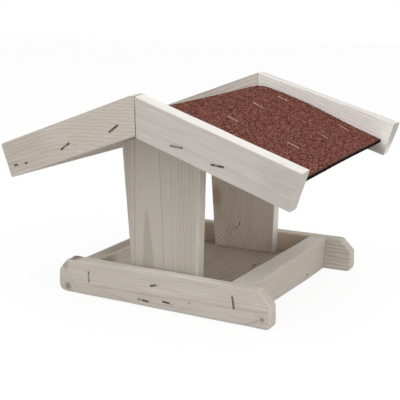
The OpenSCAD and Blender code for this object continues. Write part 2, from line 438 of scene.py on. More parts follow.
@dataclass(frozen=True)
class WashedWood:
    """Spruce under a thin white wash: year rings, fibres, knots and worn edges, with painted light
    on the tops and a painted highlight on some edges.
    """

    seed: int
    wash: Colour = (0.50, 0.455, 0.407)
    raw: Colour = (0.335, 0.28, 0.235)
    # The worn tone is also the colour of the painted highlight along strongly rubbed edges
    worn: Colour = (0.58, 0.54, 0.49)
    # Tone painted on up-facing faces: painted light, lighter than the wash on most boards, and
    # painted shade on the back barge boards
    painted_top_tone: Colour = (0.74, 0.71, 0.66)
    rust: Colour = (0.085, 0.065, 0.05)
    ring: float = 3.6
    pith: tuple[float, float] = (75.0, -32.0)
    whorl: Optional[tuple[float, float]] = None
    tilt: float = 0.0
    sweep: tuple[float, float] = (0.0, 60.0)
    warp: float = 2.5
    contrast: float = 0.5
    fibres: float = 0.55
    cloud: float = 0.5
    brushed: float = 0.35
    # How strongly up-facing faces take the painted top light
    painted_top_light: float = 0.5
    # How strongly edges are rubbed: partly wear, and partly a painted highlight along the arrises
    edge_wear_and_highlight: float = 0.45
    end_dark: float = 0.9
    end_bold: float = 0.35
    knots: tuple[KnotOrShade, ...] = ()
    streaks: tuple[Streak, ...] = ()
    flames: tuple[Flame, ...] = ()
    # How far apart two boards lie in the tree
    seed_step: Triple = (371.0, 83.0, 47.0)
    # Sizes of the uneven patches along, across and through a board
    sway_cell: Triple = (95.0, 24.0, 24.0)
    ring_cell: Triple = (40.0, 5.0, 5.0)
    wander_cell: Triple = (45.0, 60.0, 60.0)
    fibre_cell: Triple = (28.0, 0.75, 0.75)
    cloud_cell: Triple = (70.0, 16.0, 16.0)
    brush_cell: Triple = (60.0, 2.6, 2.6)
    rub_cell: Triple = (14.0, 5.0, 5.0)
    stain_cell: Triple = (2.2, 1.4, 1.4)
    # Darkness through one year ring, and the share of it that the wash hides
    late_wood: tuple[tuple[float, float], ...] = (
        (0.0, 0.1), (0.1, 0.0), (0.55, 0.28), (0.84, 1.0), (0.93, 0.85), (1.0, 0.1))
    clear: float = 0.22
    # How softly a sweep ends, and how a whorl's rings are drawn out along the board, near and far
    sweep_soft: float = 40.0
    whorl_reach: float = 65.0
    whorl_squash: tuple[float, float] = (0.54, 0.26)
    # Where a streak fades at its ends, and a mark below its depth
    streak_lead: float = 6.0
    longest_lead: float = 24.0
    deep_fade: float = 1.5
    # Where a knot's core fades, and the ring of raw wood round it
    knot_core: tuple[float, float] = (0.45, 1.25)
    knot_rim: float = 1.9
    knot_rim_w: float = 0.8
    knot_rim_share: float = 0.35
    # Where a flame's inside and rim lie and how dark they are, and where its foot fades
    flame_inside: tuple[float, float] = (-0.16, 0.03)
    flame_inside_share: float = 0.5
    flame_rim: float = 0.12
    flame_rim_share: float = 0.3
    flame_foot: tuple[float, float] = (0.9, 1.5)
    flame_foot_share: float = 0.2
    # Where the mark of a staple fades, and how patchy it is
    stain_fade: tuple[float, float] = (0.5, 1.5)
    stain_patch: tuple[float, float] = (0.36, 0.62)
    stain_shares: tuple[float, float] = (0.3, 0.85)
    # Where brush strokes, painted top light and edge wear with its painted highlight start and are
    # full
    brush_range: tuple[float, float] = (0.5, 0.72)
    upward: tuple[float, float] = (0.72, 0.94)
    rub_range: tuple[float, float] = (0.35, 0.7)
    # Where fibres hold back the painted top light, and the share that is left on them
    painted_top_fibres: tuple[float, float] = (0.2, 0.75)
    painted_top_least: float = 0.7
    # The relief of the late wood over the fibres, the depth of both, the roughness and the sheen
    late_relief: float = 0.6
    deep: float = 0.25
    roughness: tuple[float, float] = (0.66, 0.86)
    sheen: float = 0.3

    def ring_distance(self, graph: Graph, grain: Feed, spot: Feed) -> bpy.types.NodeSocket:
        """Measures the distance from the heart of the tree, in rings.

        Args:
            graph: The sheet of nodes.
            grain: Place on the board.
            spot: The same place in this board's own part of the tree.

        Returns:
            The distance in year rings.
        """
        along, across, through = graph.split(grain)
        sway = graph.math("MULTIPLY_ADD", graph.noise(spot, self.sway_cell, 1.0),
                          2 * self.warp, -self.warp)
        slope, reach = self.sweep
        swept = graph.math("SMOOTH_MIN", along, reach, self.sweep_soft)
        bend = graph.math("MULTIPLY", swept, slope)
        high = graph.math("ADD", graph.math("ADD", across, sway), bend)
        if self.whorl:
            beside = graph.math("SUBTRACT", high, self.whorl[1])
            above = graph.math("MULTIPLY", graph.math("SUBTRACT", along, self.whorl[0]),
                               graph.ease_range(beside, 0.0, self.whorl_reach, *self.whorl_squash))
            place = graph.add("ShaderNodeCombineXYZ", {0: above, 1: beside}).outputs[0]
        else:
            place = graph.add("ShaderNodeCombineXYZ", {1: high, 2: through}).outputs[0]
            place = graph.vector("SUBTRACT", place, (0.0, *self.pith))
        away = graph.math("MULTIPLY_ADD", along, self.tilt, graph.length(place))
        for knot in self.knots:
            lift = graph.ease_range(self.knot_reach(graph, grain, knot), 0.0, knot.spread,
                                    knot.bulge, 0.0)
            away = graph.math("ADD", away, lift)
        uneven = graph.noise(spot, self.ring_cell)
        return graph.math("MULTIPLY_ADD", away, 1 / self.ring, uneven)

    def knot_reach(self, graph: Graph, grain: Feed, knot: KnotOrShade) -> bpy.types.NodeSocket:
        """Measures how far a place is from a knot, with 1 at the knot's rim."""
        apart = graph.vector("SUBTRACT", grain, (knot.along, knot.across, 0.0))
        return graph.length(graph.vector("MULTIPLY", apart, (1 / knot.length, 1 / knot.width, 0.0)))

    def skin_share(self, graph: Graph, through: Feed, deep: float) -> bpy.types.NodeSocket:
        """Gives 1 down to a mark's depth in the board, and 0 soon below it."""
        return graph.ease_range(through, deep, deep + self.deep_fade, 1.0, 0.0)

    def streaked(self, graph: Graph, colour: Feed, grain: Feed, spot: Feed) -> bpy.types.NodeSocket:
        """Lays the single streaks, the bands of painted light and shade, and the flames over the
        wood.

        Args:
            graph: The sheet of nodes.
            colour: The wood's colour so far.
            grain: Place on the board.
            spot: The same place in this board's own part of the tree.

        Returns:
            The colour with the streaks on it.
        """
        along, across, through = graph.split(grain)
        wander = graph.math("MULTIPLY_ADD", graph.noise(spot, self.wander_cell, 1.0), 2.0, -1.0)
        across = graph.math("ADD", across, wander)
        for streak in self.streaks:
            line = graph.math("MULTIPLY_ADD", along, streak.lean, streak.across)
            off = graph.math("ABSOLUTE", graph.math("SUBTRACT", across, line))
            share = graph.ease_range(off, 0.0, streak.width, streak.strength, 0.0)
            lead = min(self.streak_lead + streak.width, self.longest_lead)
            for low, high, ends in ((streak.start, streak.start + lead, (0.0, 1.0)),
                                    (streak.end - lead, streak.end, (1.0, 0.0))):
                share = graph.math("MULTIPLY", share, graph.ease_range(along, low, high, *ends))
            share = graph.math("MULTIPLY", share, self.skin_share(graph, through, streak.deep))
            colour = graph.mix(share, colour, streak.tone or self.raw)
        for flame in self.flames:
            off = graph.math("DIVIDE", graph.math("SUBTRACT", across, flame.across), flame.half)
            drop = graph.math("DIVIDE", graph.math("SUBTRACT", flame.peak, along), flame.tall)
            past = graph.math("SUBTRACT", graph.math("MULTIPLY", off, off), drop)
            inside = graph.ease_range(past, *self.flame_inside,
                                      self.flame_inside_share * flame.strength, 0.0)
            off_rim = graph.math("ABSOLUTE", past)
            rim = graph.ease_range(off_rim, 0.0, self.flame_rim,
                                   self.flame_rim_share * flame.strength, 0.0)
            fade = graph.ease_range(drop, *self.flame_foot, 1.0, self.flame_foot_share)
            share = graph.math("MULTIPLY", graph.math("ADD", inside, rim), fade)
            colour = graph.mix(share, colour, self.raw)
        return colour

    def knotted_and_shaded(self, graph: Graph, colour: Feed, grain: Feed) -> bpy.types.NodeSocket:
        """Lays the knots, stains and patches of painted shadow over the wood.

        Args:
            graph: The sheet of nodes.
            colour: The wood's colour so far.
            grain: Place on the board.

        Returns:
            The colour with the knots on it.
        """
        through = graph.split(grain)[2]
        for knot in self.knots:
            reach = self.knot_reach(graph, grain, knot)
            core = graph.ease_range(reach, *self.knot_core, knot.strength, 0.0)
            core = graph.math("MULTIPLY", core, self.skin_share(graph, through, knot.deep))
            colour = graph.mix(core, colour, knot.tone)
            if knot.bulge:
                off_rim = graph.math("ABSOLUTE", graph.math("SUBTRACT", reach, self.knot_rim))
                rim = graph.ease_range(off_rim, 0.0, self.knot_rim_w,
                                       self.knot_rim_share * knot.strength, 0.0)
                colour = graph.mix(rim, colour, self.raw)
        return colour

    def stained(self, graph: Graph, colour: Feed, grain: Feed, stains: Sequence[Stain]
                ) -> bpy.types.NodeSocket:
        """Lays the marks of the staples over the wood.

        Args:
            graph: The sheet of nodes.
            colour: The wood's colour so far.
            grain: Place on the board.
            stains: The marks.

        Returns:
            The colour with the marks on it.
        """
        patch = graph.ease_range(graph.noise(grain, self.stain_cell), *self.stain_patch,
                                 *self.stain_shares)
        for stain in stains:
            apart = graph.vector("SUBTRACT", grain, stain.middle)
            run = graph.add("ShaderNodeVectorMath", {0: apart, 1: stain.along},
                            operation="DOT_PRODUCT").outputs["Value"]
            run = graph.math("MAXIMUM", graph.math("MINIMUM", run, stain.half), -stain.half)
            foot = graph.vector("MULTIPLY", stain.along, graph.add(
                "ShaderNodeCombineXYZ", {0: run, 1: run, 2: run}).outputs[0])
            gap = graph.length(graph.vector("SUBTRACT", apart, foot))
            near = graph.ease_range(gap, *self.stain_fade, 1.0, 0.0)
            share = graph.math("MULTIPLY", near, patch)
            colour = graph.mix(share, colour, self.rust)
        return colour

    def weathered_and_lit(self, graph: Graph, colour: Feed, spot: Feed, fibre: Feed
                  ) -> bpy.types.NodeSocket:
        """Lays the brushed wash, painted top light, edge wear with a painted highlight, and dark
        ends over the wood.

        Args:
            graph: The sheet of nodes.
            colour: The wood's colour so far.
            spot: Place in this board's own part of the tree.
            fibre: The fine fibres.

        Returns:
            The finished colour.
        """
        brush = graph.noise(spot, self.brush_cell, 3.0)
        stroke = graph.ease_range(brush, *self.brush_range, 0.0, self.brushed)
        colour = graph.mix(stroke, colour, self.worn)
        # Painted top light: up-facing faces are mixed towards the painted top tone, as if lit from
        # above
        lit = graph.ease_range(graph.attribute(UP, "Fac"), *self.upward, 0.0, self.painted_top_light)
        held = graph.ease_range(fibre, *self.painted_top_fibres, 1.0, self.painted_top_least)
        colour = graph.mix(graph.math("MULTIPLY", lit, held), colour, self.painted_top_tone)
        # Rubbed edges: partly wear, partly a painted highlight along the arrises
        rub_and_highlight = graph.ease_range(graph.noise(spot, self.rub_cell), *self.rub_range,
                               0.0, self.edge_wear_and_highlight)
        colour = graph.mix(graph.math("MULTIPLY", rub_and_highlight, graph.attribute(EDGE, "Fac")),
                           colour, self.worn)
        cut = graph.math("MULTIPLY", graph.attribute(END, "Fac"), self.end_dark)
        return graph.mix(graph.math("MULTIPLY", cut, fibre), colour, self.raw)

    def material(self, name: str, stains: Sequence[Stain]) -> bpy.types.Material:
        """Makes the wood's material.

        Args:
            name: Name of the material.
            stains: Marks of the staples that are driven into the board.

        Returns:
            The new material.
        """
        made = bpy.data.materials.new(name)
        graph = Graph(made)
        grain = graph.attribute(GRAIN, "Vector")
        spot = graph.vector("ADD", grain, tuple(step * self.seed for step in self.seed_step))
        rings = graph.math("FRACT", self.ring_distance(graph, grain, spot))
        late = graph.ramp(rings, [(at, (tone,) * 3) for at, tone in self.late_wood])
        fibre = graph.noise(spot, self.fibre_cell, 3.0)
        cloud = graph.noise(spot, self.cloud_cell)
        bold = graph.math("MULTIPLY_ADD", graph.attribute(END, "Fac"), self.end_bold, self.contrast)
        share = graph.math("MULTIPLY_ADD", late, bold, -self.clear - 0.5 * self.cloud)
        share = graph.math("MULTIPLY_ADD", fibre, self.fibres, share)
        share = graph.math("MULTIPLY_ADD", cloud, self.cloud, share)
        colour = graph.mix(graph.math("MAXIMUM", share, 0.0), self.wash, self.raw)
        colour = self.streaked(graph, colour, grain, spot)
        colour = self.weathered_and_lit(graph, colour, spot, fibre)
        colour = self.knotted_and_shaded(graph, colour, grain)
        colour = self.stained(graph, colour, grain, stains)
        height = graph.math("MULTIPLY_ADD", late, self.late_relief, fibre)
        graph.finish({"Base Color": colour, "Specular IOR Level": self.sheen,
                      "Roughness": graph.ease_range(fibre, 0.2, 0.8, *self.roughness),
                      "Normal": graph.relief(height, 0.5, self.deep)})
        return made


@dataclass(frozen=True)
class MineralFelt:
    """Brick-red stone granules bedded in black bitumen."""

    granule: float = 1.15
    # Sizes of the clumps of stones, and of the grit and the smears on the cut edge
    clump_cell: Triple = (2.7, 2.7, 2.7)
    grit_cell: Triple = (0.9, 0.9, 0.5)
    smear_cell: Triple = (14.0, 14.0, 4.0)
    # How much a stone's tone follows its clump and its own chance
    clump_pull: float = 1.6
    stone_pull: float = 1.3
    tone_start: float = -0.97
    # Where the bed shows between the stones, and where the bitumen is bare near the edge
    gap_range: tuple[float, float] = (0.42, 0.8)
    gap_share: float = 0.75
    bare_range: tuple[float, float] = (0.45, 0.75)
    bare_share: float = 0.9
    # Depth of the stones and of the grit, the roughness of both and the stones' sheen
    stone_deep: float = 0.6
    grit_deep: float = 0.4
    roughness: tuple[float, float] = (0.78, 0.96)
    edge_roughness: tuple[float, float] = (0.6, 0.85)
    sheen: float = 0.06
    # Tones of the stones from dark to light, and of the bitumen
    stones: tuple[tuple[float, Colour], ...] = (
        (0.0, (0.033, 0.008, 0.005)),
        (0.18, (0.063, 0.0155, 0.0095)),
        (0.42, (0.130, 0.037, 0.024)),
        (0.72, (0.175, 0.057, 0.039)),
        (1.0, (0.252, 0.114, 0.088)),
    )
    bed: Colour = (0.036, 0.010, 0.007)
    bitumen: Colour = (0.010, 0.006, 0.005)
    cut_edge: Colour = (0.004, 0.0038, 0.0038)

    def top_material(self, name: str) -> bpy.types.Material:
        """Makes the granule side's material.

        Args:
            name: Name of the material.

        Returns:
            The new material.
        """
        made = bpy.data.materials.new(name)
        graph = Graph(made)
        grain = graph.attribute(GRAIN, "Vector")
        cells = graph.add("ShaderNodeTexVoronoi", {
            "Vector": graph.vector("DIVIDE", grain, (self.granule,) * 3), "Scale": 1.0})
        pick = graph.add("ShaderNodeSeparateColor", {0: cells.outputs["Color"]}).outputs[0]
        clump = graph.noise(grain, self.clump_cell)
        tone = graph.math("MULTIPLY_ADD", pick, self.stone_pull, self.tone_start)
        tone = graph.math("MULTIPLY_ADD", clump, self.clump_pull, tone)
        colour = graph.ramp(tone, self.stones)
        gap = graph.ease_range(cells.outputs["Distance"], *self.gap_range, 0.0, self.gap_share)
        colour = graph.mix(gap, colour, self.bed)
        near_edge = graph.math("MULTIPLY_ADD", clump, 0.5, graph.attribute(EDGE, "Fac"))
        bare = graph.ease_range(near_edge, *self.bare_range, 0.0, self.bare_share)
        colour = graph.mix(bare, colour, self.bitumen)
        stones = graph.relief(cells.outputs["Distance"], 0.7, self.stone_deep, invert=True)
        graph.finish({"Base Color": colour, "Normal": stones, "Specular IOR Level": self.sheen,
                      "Roughness": graph.ease_range(pick, 0.0, 1.0, *self.roughness)})
        return made

    def edge_material(self, name: str) -> bpy.types.Material:
        """Makes the material of the cut edge and the underside.

        Args:
            name: Name of the material.

        Returns:
            The new material.
        """
        made = bpy.data.materials.new(name)
        graph = Graph(made)
        grain = graph.attribute(GRAIN, "Vector")
        grit = graph.noise(grain, self.grit_cell, 3.0)
        smear = graph.noise(grain, self.smear_cell)
        dusty = graph.math("MULTIPLY_ADD", smear, 0.5, graph.math("MULTIPLY", grit, 0.5))
        share = graph.ease_range(dusty, 0.5, 0.8, 0.0, 0.8)
        colour = graph.mix(share, self.cut_edge, self.bitumen)
        graph.finish({"Base Color": colour, "Specular IOR Level": 0.0,
                      "Roughness": graph.ease_range(smear, 0.3, 0.7, *self.edge_roughness),
                      "Normal": graph.relief(grit, 0.5, self.grit_deep)})
        return made


@dataclass(frozen=True)
class StapleSteel:
    """Flat staple wire, dulled by the weather and touched by the wash."""

    metal: Colour = (0.050, 0.040, 0.033)
    rust: Colour = (0.020, 0.012, 0.009)
    wash: Colour = (0.42, 0.385, 0.345)
    metallic: float = 0.2
    washed_share: float = 0.45
    # Sizes of the rust stains and the splashes of wash, and where they begin and are full
    stain_cell: Triple = (1.6, 1.2, 1.2)
    splash_cell: Triple = (3.2, 2.0, 2.0)
    stain_range: tuple[float, float] = (0.38, 0.62)
    splash_range: tuple[float, float] = (0.56, 0.66)
    # Depth of the relief, and the roughness
    deep: float = 0.1
    roughness: tuple[float, float] = (0.45, 0.7)

    def material(self, name: str) -> bpy.types.Material:
        """Makes the wire's material.

        Args:
            name: Name of the material.

        Returns:
            The new material.
        """
        made = bpy.data.materials.new(name)
        graph = Graph(made)
        grain = graph.attribute(GRAIN, "Vector")
        stain = graph.noise(grain, self.stain_cell, 3.0)
        splash = graph.noise(grain, self.splash_cell)
        rusted = graph.ease_range(stain, *self.stain_range, 0.0, 1.0)
        colour = graph.mix(rusted, self.metal, self.rust)
        splashed = graph.ease_range(splash, *self.splash_range, 0.0, self.washed_share)
        hidden = graph.math("MAXIMUM", splashed, graph.attribute(COVER, "Fac"))
        colour = graph.mix(hidden, colour, self.wash)
        graph.finish({"Base Color": colour, "Metallic": self.metallic,
                      "Roughness": graph.ease_range(stain, 0.3, 0.7, *self.roughness),
                      "Normal": graph.relief(stain, 0.3, self.deep)})
        return made


@dataclass(frozen=True)
class Crown:
    """One driven staple of the frame: the middle of its crown and the way it points."""

    centre: np.ndarray
    along: np.ndarray
    inward: np.ndarray
    wide: float
    leg: float


@dataclass(frozen=True)
class Cover:
    """A stretch of one staple's crown that the wash hides, measured from the crown's middle."""

    number: int
    start: float
    end: float
    share: float = 1.0


@dataclass
class Staples:
    """All the wire staples: read from the frame, and made again with bent corners and points."""

    wire_w: float = 1.4
    wire_t: float = 0.7
    bend: float = 0.5
    corner: float = 0.22
    point: float = 1.6
    dent: float = 0.55
    dent_reach: float = 1.7
    # How uneven the wire is, how slim its points are, and how far apart two staples' finishes lie
    uneven: float = 0.22
    uneven_len: float = 3.0
    tip: float = 0.25
    seed: int = 31
    finish_step: float = 7.0
    # How the wash covers a crown, and which stretches of it are bare enough to mark the wood
    cover_fade: float = 0.8
    bare_in: float = 0.4
    bare_least: float = 0.5
    # The direction that says which end of a crown comes first
    heading: Triple = (1.0, 0.5, 0.25)
    wood_finish: StapleSteel = StapleSteel()
    felt_finish: StapleSteel = StapleSteel(
        metal=(0.40, 0.34, 0.29), rust=(0.20, 0.13, 0.10), wash=(0.17, 0.075, 0.055),
        washed_share=0.9)
    covers: dict[str, tuple[Cover, ...]] = field(default_factory=lambda: {
        "front_left_barge_staples": (Cover(0, -4.4, 4.8), Cover(1, -2.0, 3.0, 0.4)),
        "front_right_barge_staples": (Cover(0, -4.4, 5.2, 0.35), Cover(1, -2.0, 0.0, 0.5)),
        "front_post_staple": (Cover(0, 1.0, 7.0),),
        "front_rail_end_staples": (Cover(0, -4.6, 2.6, 0.5), Cover(0, 4.4, 7.0),
                                   Cover(1, -7.0, 7.0, 0.1)),
        "front_rail_floor_staples": (Cover(0, -3.8, -1.6), Cover(1, 2.2, 5.4)),
        "right_rail_floor_staple": (Cover(0, -7.0, 1.8),),
        "right_felt_staples": (Cover(1, -3.0, 0.5), Cover(6, -7.0, -1.0)),
    })
    crowns: dict[str, list[Crown]] = field(default_factory=dict)

    def read(self) -> None:
        """Finds the staples in the frame's staple nodes."""
        for node in sorted(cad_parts):
            if node.endswith(("_staple", "_staples")):
                self.crowns[node] = [self.crown_of(*solid) for solid in self.solids(node)]
                log.info("%s: %d staples found", node, len(self.crowns[node]))

    def solids(self, node: str) -> list[tuple[np.ndarray, np.ndarray, np.ndarray]]:
        """Splits a node into its separate solids.

        Args:
            node: Name of the node.

        Returns:
            For each solid, its points, its faces' middles and its faces' area vectors.
        """
        mesh = bmesh.new()
        mesh.from_mesh(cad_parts[node].data)
        bmesh.ops.remove_doubles(mesh, verts=mesh.verts, dist=1e-6)
        left, found = set(mesh.verts), []
        while left:
            reached, edge = set(), [left.pop()]
            while edge:
                vert = edge.pop()
                reached.add(vert)
                near = [e.other_vert(vert) for e in vert.link_edges]
                edge.extend(v for v in near if v in left)
                left.difference_update(near)
            faces = {face for vert in reached for face in vert.link_faces}
            found.append((
                np.array([v.co for v in reached]) / MM,
                np.array([f.calc_center_median() for f in faces]) / MM,
                np.array([f.normal * f.calc_area() for f in faces]),
            ))
        mesh.free()
        return sorted(found, key=lambda solid: tuple(np.round(solid[0].mean(0), 2)))

    def crown_of(self, points: np.ndarray, middles: np.ndarray, areas: np.ndarray) -> Crown:
        """Works out how one staple lies.

        Args:
            points: The staple's points.
            middles: The middles of its faces.
            areas: The area vectors of its faces.

        Returns:
            The staple's crown.
        """
        axes = np.linalg.eigh(np.cov((points - points.mean(0)).T))[1]
        low, high = (points @ axes).min(0), (points @ axes).max(0)
        sizes = np.linalg.norm(areas, axis=1)
        weight = (sizes @ middles / sizes.sum()) @ axes
        order = np.argsort(high - low)
        along, inward = sorted(order[1:], key=lambda axis: abs(2 * weight - low - high)[axis])
        spot = (low + high) / 2
        down = 1.0 if 2 * weight[inward] < low[inward] + high[inward] else -1.0
        spot[inward] = low[inward] if down > 0 else high[inward]
        run = axes[:, along] * (1.0 if axes[:, along] @ self.heading > 0 else -1.0)
        return Crown(axes @ spot, run, down * axes[:, inward],
                     float(high[along] - low[along]), float(high[inward] - low[inward]))

    def all_crowns(self) -> list[Crown]:
        """Lists every staple of the feeder."""
        return [crown for crowns in self.crowns.values() for crown in crowns]

    def bared(self) -> list[tuple[Crown, float, float]]:
        """Lists the stretches of the crowns in wood that the wash does not hide.

        Returns:
            For each stretch, its crown, and its start and end from the crown's middle.
        """
        found = []
        for node, crowns in self.crowns.items():
            for number, crown in enumerate(crowns if "felt" not in node else ()):
                stop = crown.wide / 2 - self.bare_in
                start = -stop
                for cover in self.covers.get(node, ()):
                    if cover.number == number and cover.share == 1.0:
                        found.append((crown, start, cover.start))
                        start = cover.end
                found.append((crown, start, stop))
        return [stretch for stretch in found if stretch[2] - stretch[1] > self.bare_least]

    def press(self, points: np.ndarray, depth: float) -> np.ndarray:
        """Presses the wood or the felt in where staples are driven into it.

        Args:
            points: Points of a piece, in the frame.
            depth: Depth of the dent under a crown.

        Returns:
            The pressed points.
        """
        pressed = points.copy()
        for crown in self.all_crowns():
            off = points - crown.centre
            run = np.clip(off @ crown.along, -crown.wide / 2, crown.wide / 2)
            gap = np.linalg.norm(off - run[:, None] * crown.along, axis=1) / self.dent_reach
            sink = depth * np.clip(1 - gap * gap, 0, None) ** 1.5
            pressed += sink[:, None] * crown.inward
        return pressed

    def wire_line(self, crown: Crown) -> np.ndarray:
        """Draws the middle line of one staple's wire, from the point of one leg to the other.

        Args:
            crown: The staple's place.

        Returns:
            Places along the crown and down from its outer face, one row each.
        """
        half, mid = crown.wide / 2 - self.wire_t / 2, self.wire_t / 2
        turn = np.radians([0, 22.5, 45, 67.5, 90])
        elbow = np.stack([half - self.bend * (1 - np.cos(turn)),
                          mid + self.bend * (1 - np.sin(turn))], axis=1)
        leg = np.array([[half, crown.leg], [half, crown.leg - self.point], [half, crown.leg / 2],
                        [half, mid + 2 * self.bend]])
        top = np.linspace(half - self.bend, 0, 9)[1:-1]
        right = np.concatenate([leg, elbow, np.stack([top, np.full(len(top), mid)], axis=1)])
        left = right[::-1] * (-1, 1)
        return np.concatenate([right, [[0.0, mid]], left])

    def wire(self, crown: Crown) -> tuple[np.ndarray, np.ndarray, np.ndarray]:
        """Makes one staple: a flat wire with rounded corners, bent twice and cut to points.

        Args:
            crown: The staple's place.

        Returns:
            Its points, its four-cornered faces, and the places that its finish reads.
        """
        path = self.wire_line(crown)
        heading = np.gradient(path, axis=0)
        heading /= np.linalg.norm(heading, axis=1, keepdims=True)
        square = np.stack([-heading[:, 1], heading[:, 0]], axis=1)
        w, t, c = self.wire_w / 2, self.wire_t / 2, self.corner
        ring = np.array([(w, t - c), (w - c, t), (c - w, t), (-w, t - c),
                         (-w, c - t), (c - w, -t), (w - c, -t), (w, c - t)])
        run = path[:, 0] / self.uneven_len + crown.centre.sum()
        beat = value_noise(np.stack([run, path[:, 1], path[:, 1]], axis=1), self.seed)
        slim = 1 + self.uneven * np.clip(beat, -1, 0.5)
        slim[[0, -1]] = self.tip
        across = np.cross(crown.along, crown.inward)
        flat = path[:, None, :] + square[:, None, :] * (ring[None, :, 1:] * slim[:, None, None])
        side = ring[None, :, 0] * np.sqrt(slim)[:, None]
        points = (crown.centre + flat[..., :1] * crown.along + flat[..., 1:] * crown.inward
                  + side[..., None] * across).reshape(-1, 3)
        rows, count = len(path), len(ring)
        index = np.arange(rows * count).reshape(rows, count)
        turned = np.roll(index, -1, axis=1)
        quads = np.stack([index[:-1], turned[:-1], turned[1:], index[1:]], -1).reshape(-1, 4)
        caps = np.array([[0, 1, 6, 7], [1, 2, 5, 6], [2, 3, 4, 5]])
        quads = np.concatenate([quads, index[0][caps][:, ::-1], index[-1][caps]])
        read = np.repeat(np.cumsum(np.linalg.norm(np.gradient(path, axis=0), axis=1)), count)
        read += crown.centre.sum() * self.finish_step
        places = np.stack([read, points[:, 0], points[:, 2]], axis=1)
        return points, quads, places

    def hidden(self, node: str, number: int, crown: Crown, points: np.ndarray) -> np.ndarray:
        """Works out where the wash covers one staple.

        Args:
            node: The staple's node.
            number: The staple's number in its node.
            crown: The staple's place.
            points: The points of its wire.

        Returns:
            The share of cover at each point, from 0 to 1.
        """
        run = (points - crown.centre) @ crown.along
        share = np.zeros(len(points))
        for cover in self.covers.get(node, ()):
            if cover.number == number:
                inside = np.minimum(run - cover.start, cover.end - run) / self.cover_fade
                share = np.maximum(share, cover.share * np.clip(0.5 + inside, 0, 1))
        return share

    def build(self, raised: Callable[[np.ndarray], np.ndarray]) -> None:
        """Makes the wires of every staple node and dresses them.

        Args:
            raised: Moves points up with the felt where it stands off the boards.
        """
        wood = self.wood_finish.material("staple_steel")
        felt = self.felt_finish.material("felt_staple_steel")
        for node, crowns in self.crowns.items():
            on_felt = "felt" in node
            points, quads, places, covers, start = [], [], [], [], 0
            for number, crown in enumerate(crowns):
                wire, faces, read = self.wire(crown)
                points.append(raised(wire) if on_felt else wire)
                quads.append(outward(wire - wire.mean(0), faces) + start)
                places.append(read)
                covers.append(self.hidden(node, number, crown, wire))
                start += len(wire)
            piece = mesh_object(f"{node}_wire", np.concatenate(points), np.concatenate(quads))
            set_attribute(piece, GRAIN, np.concatenate(places))
            set_attribute(piece, COVER, np.concatenate(covers))
            piece.data.materials.append(felt if on_felt else wood)
            hand_over(piece, node, "felt_staple_steel" if on_felt else "staple_steel")


@dataclass(frozen=True)
class Place:
    """Where a board lies: one corner, and the directions of its length, width and thickness."""

    corner: Triple
    along: Triple
    across: Triple
    through: Triple

    def to_frame(self, points: np.ndarray) -> np.ndarray:
        """Moves board points to the frame."""
        return np.array(self.corner) + points @ np.array([self.along, self.across, self.through])


@dataclass(frozen=True)
class Ding:
    """A dent or a chipped edge, at a place on the board."""

    at: Triple
    radius: float
    depth: float


@dataclass(frozen=True)
class Wear:
    """Uneven wear: its mean depth and the size of its hollows."""

    depth: float
    cell: Triple

    def at(self, points: np.ndarray, seed: int) -> np.ndarray:
        """Gives the depth of the wear at each point."""
        return self.depth * (1 + value_noise(points / self.cell, seed))


def untrimmed(points: np.ndarray) -> np.ndarray:
    """Leaves a board a plain box."""
    return points


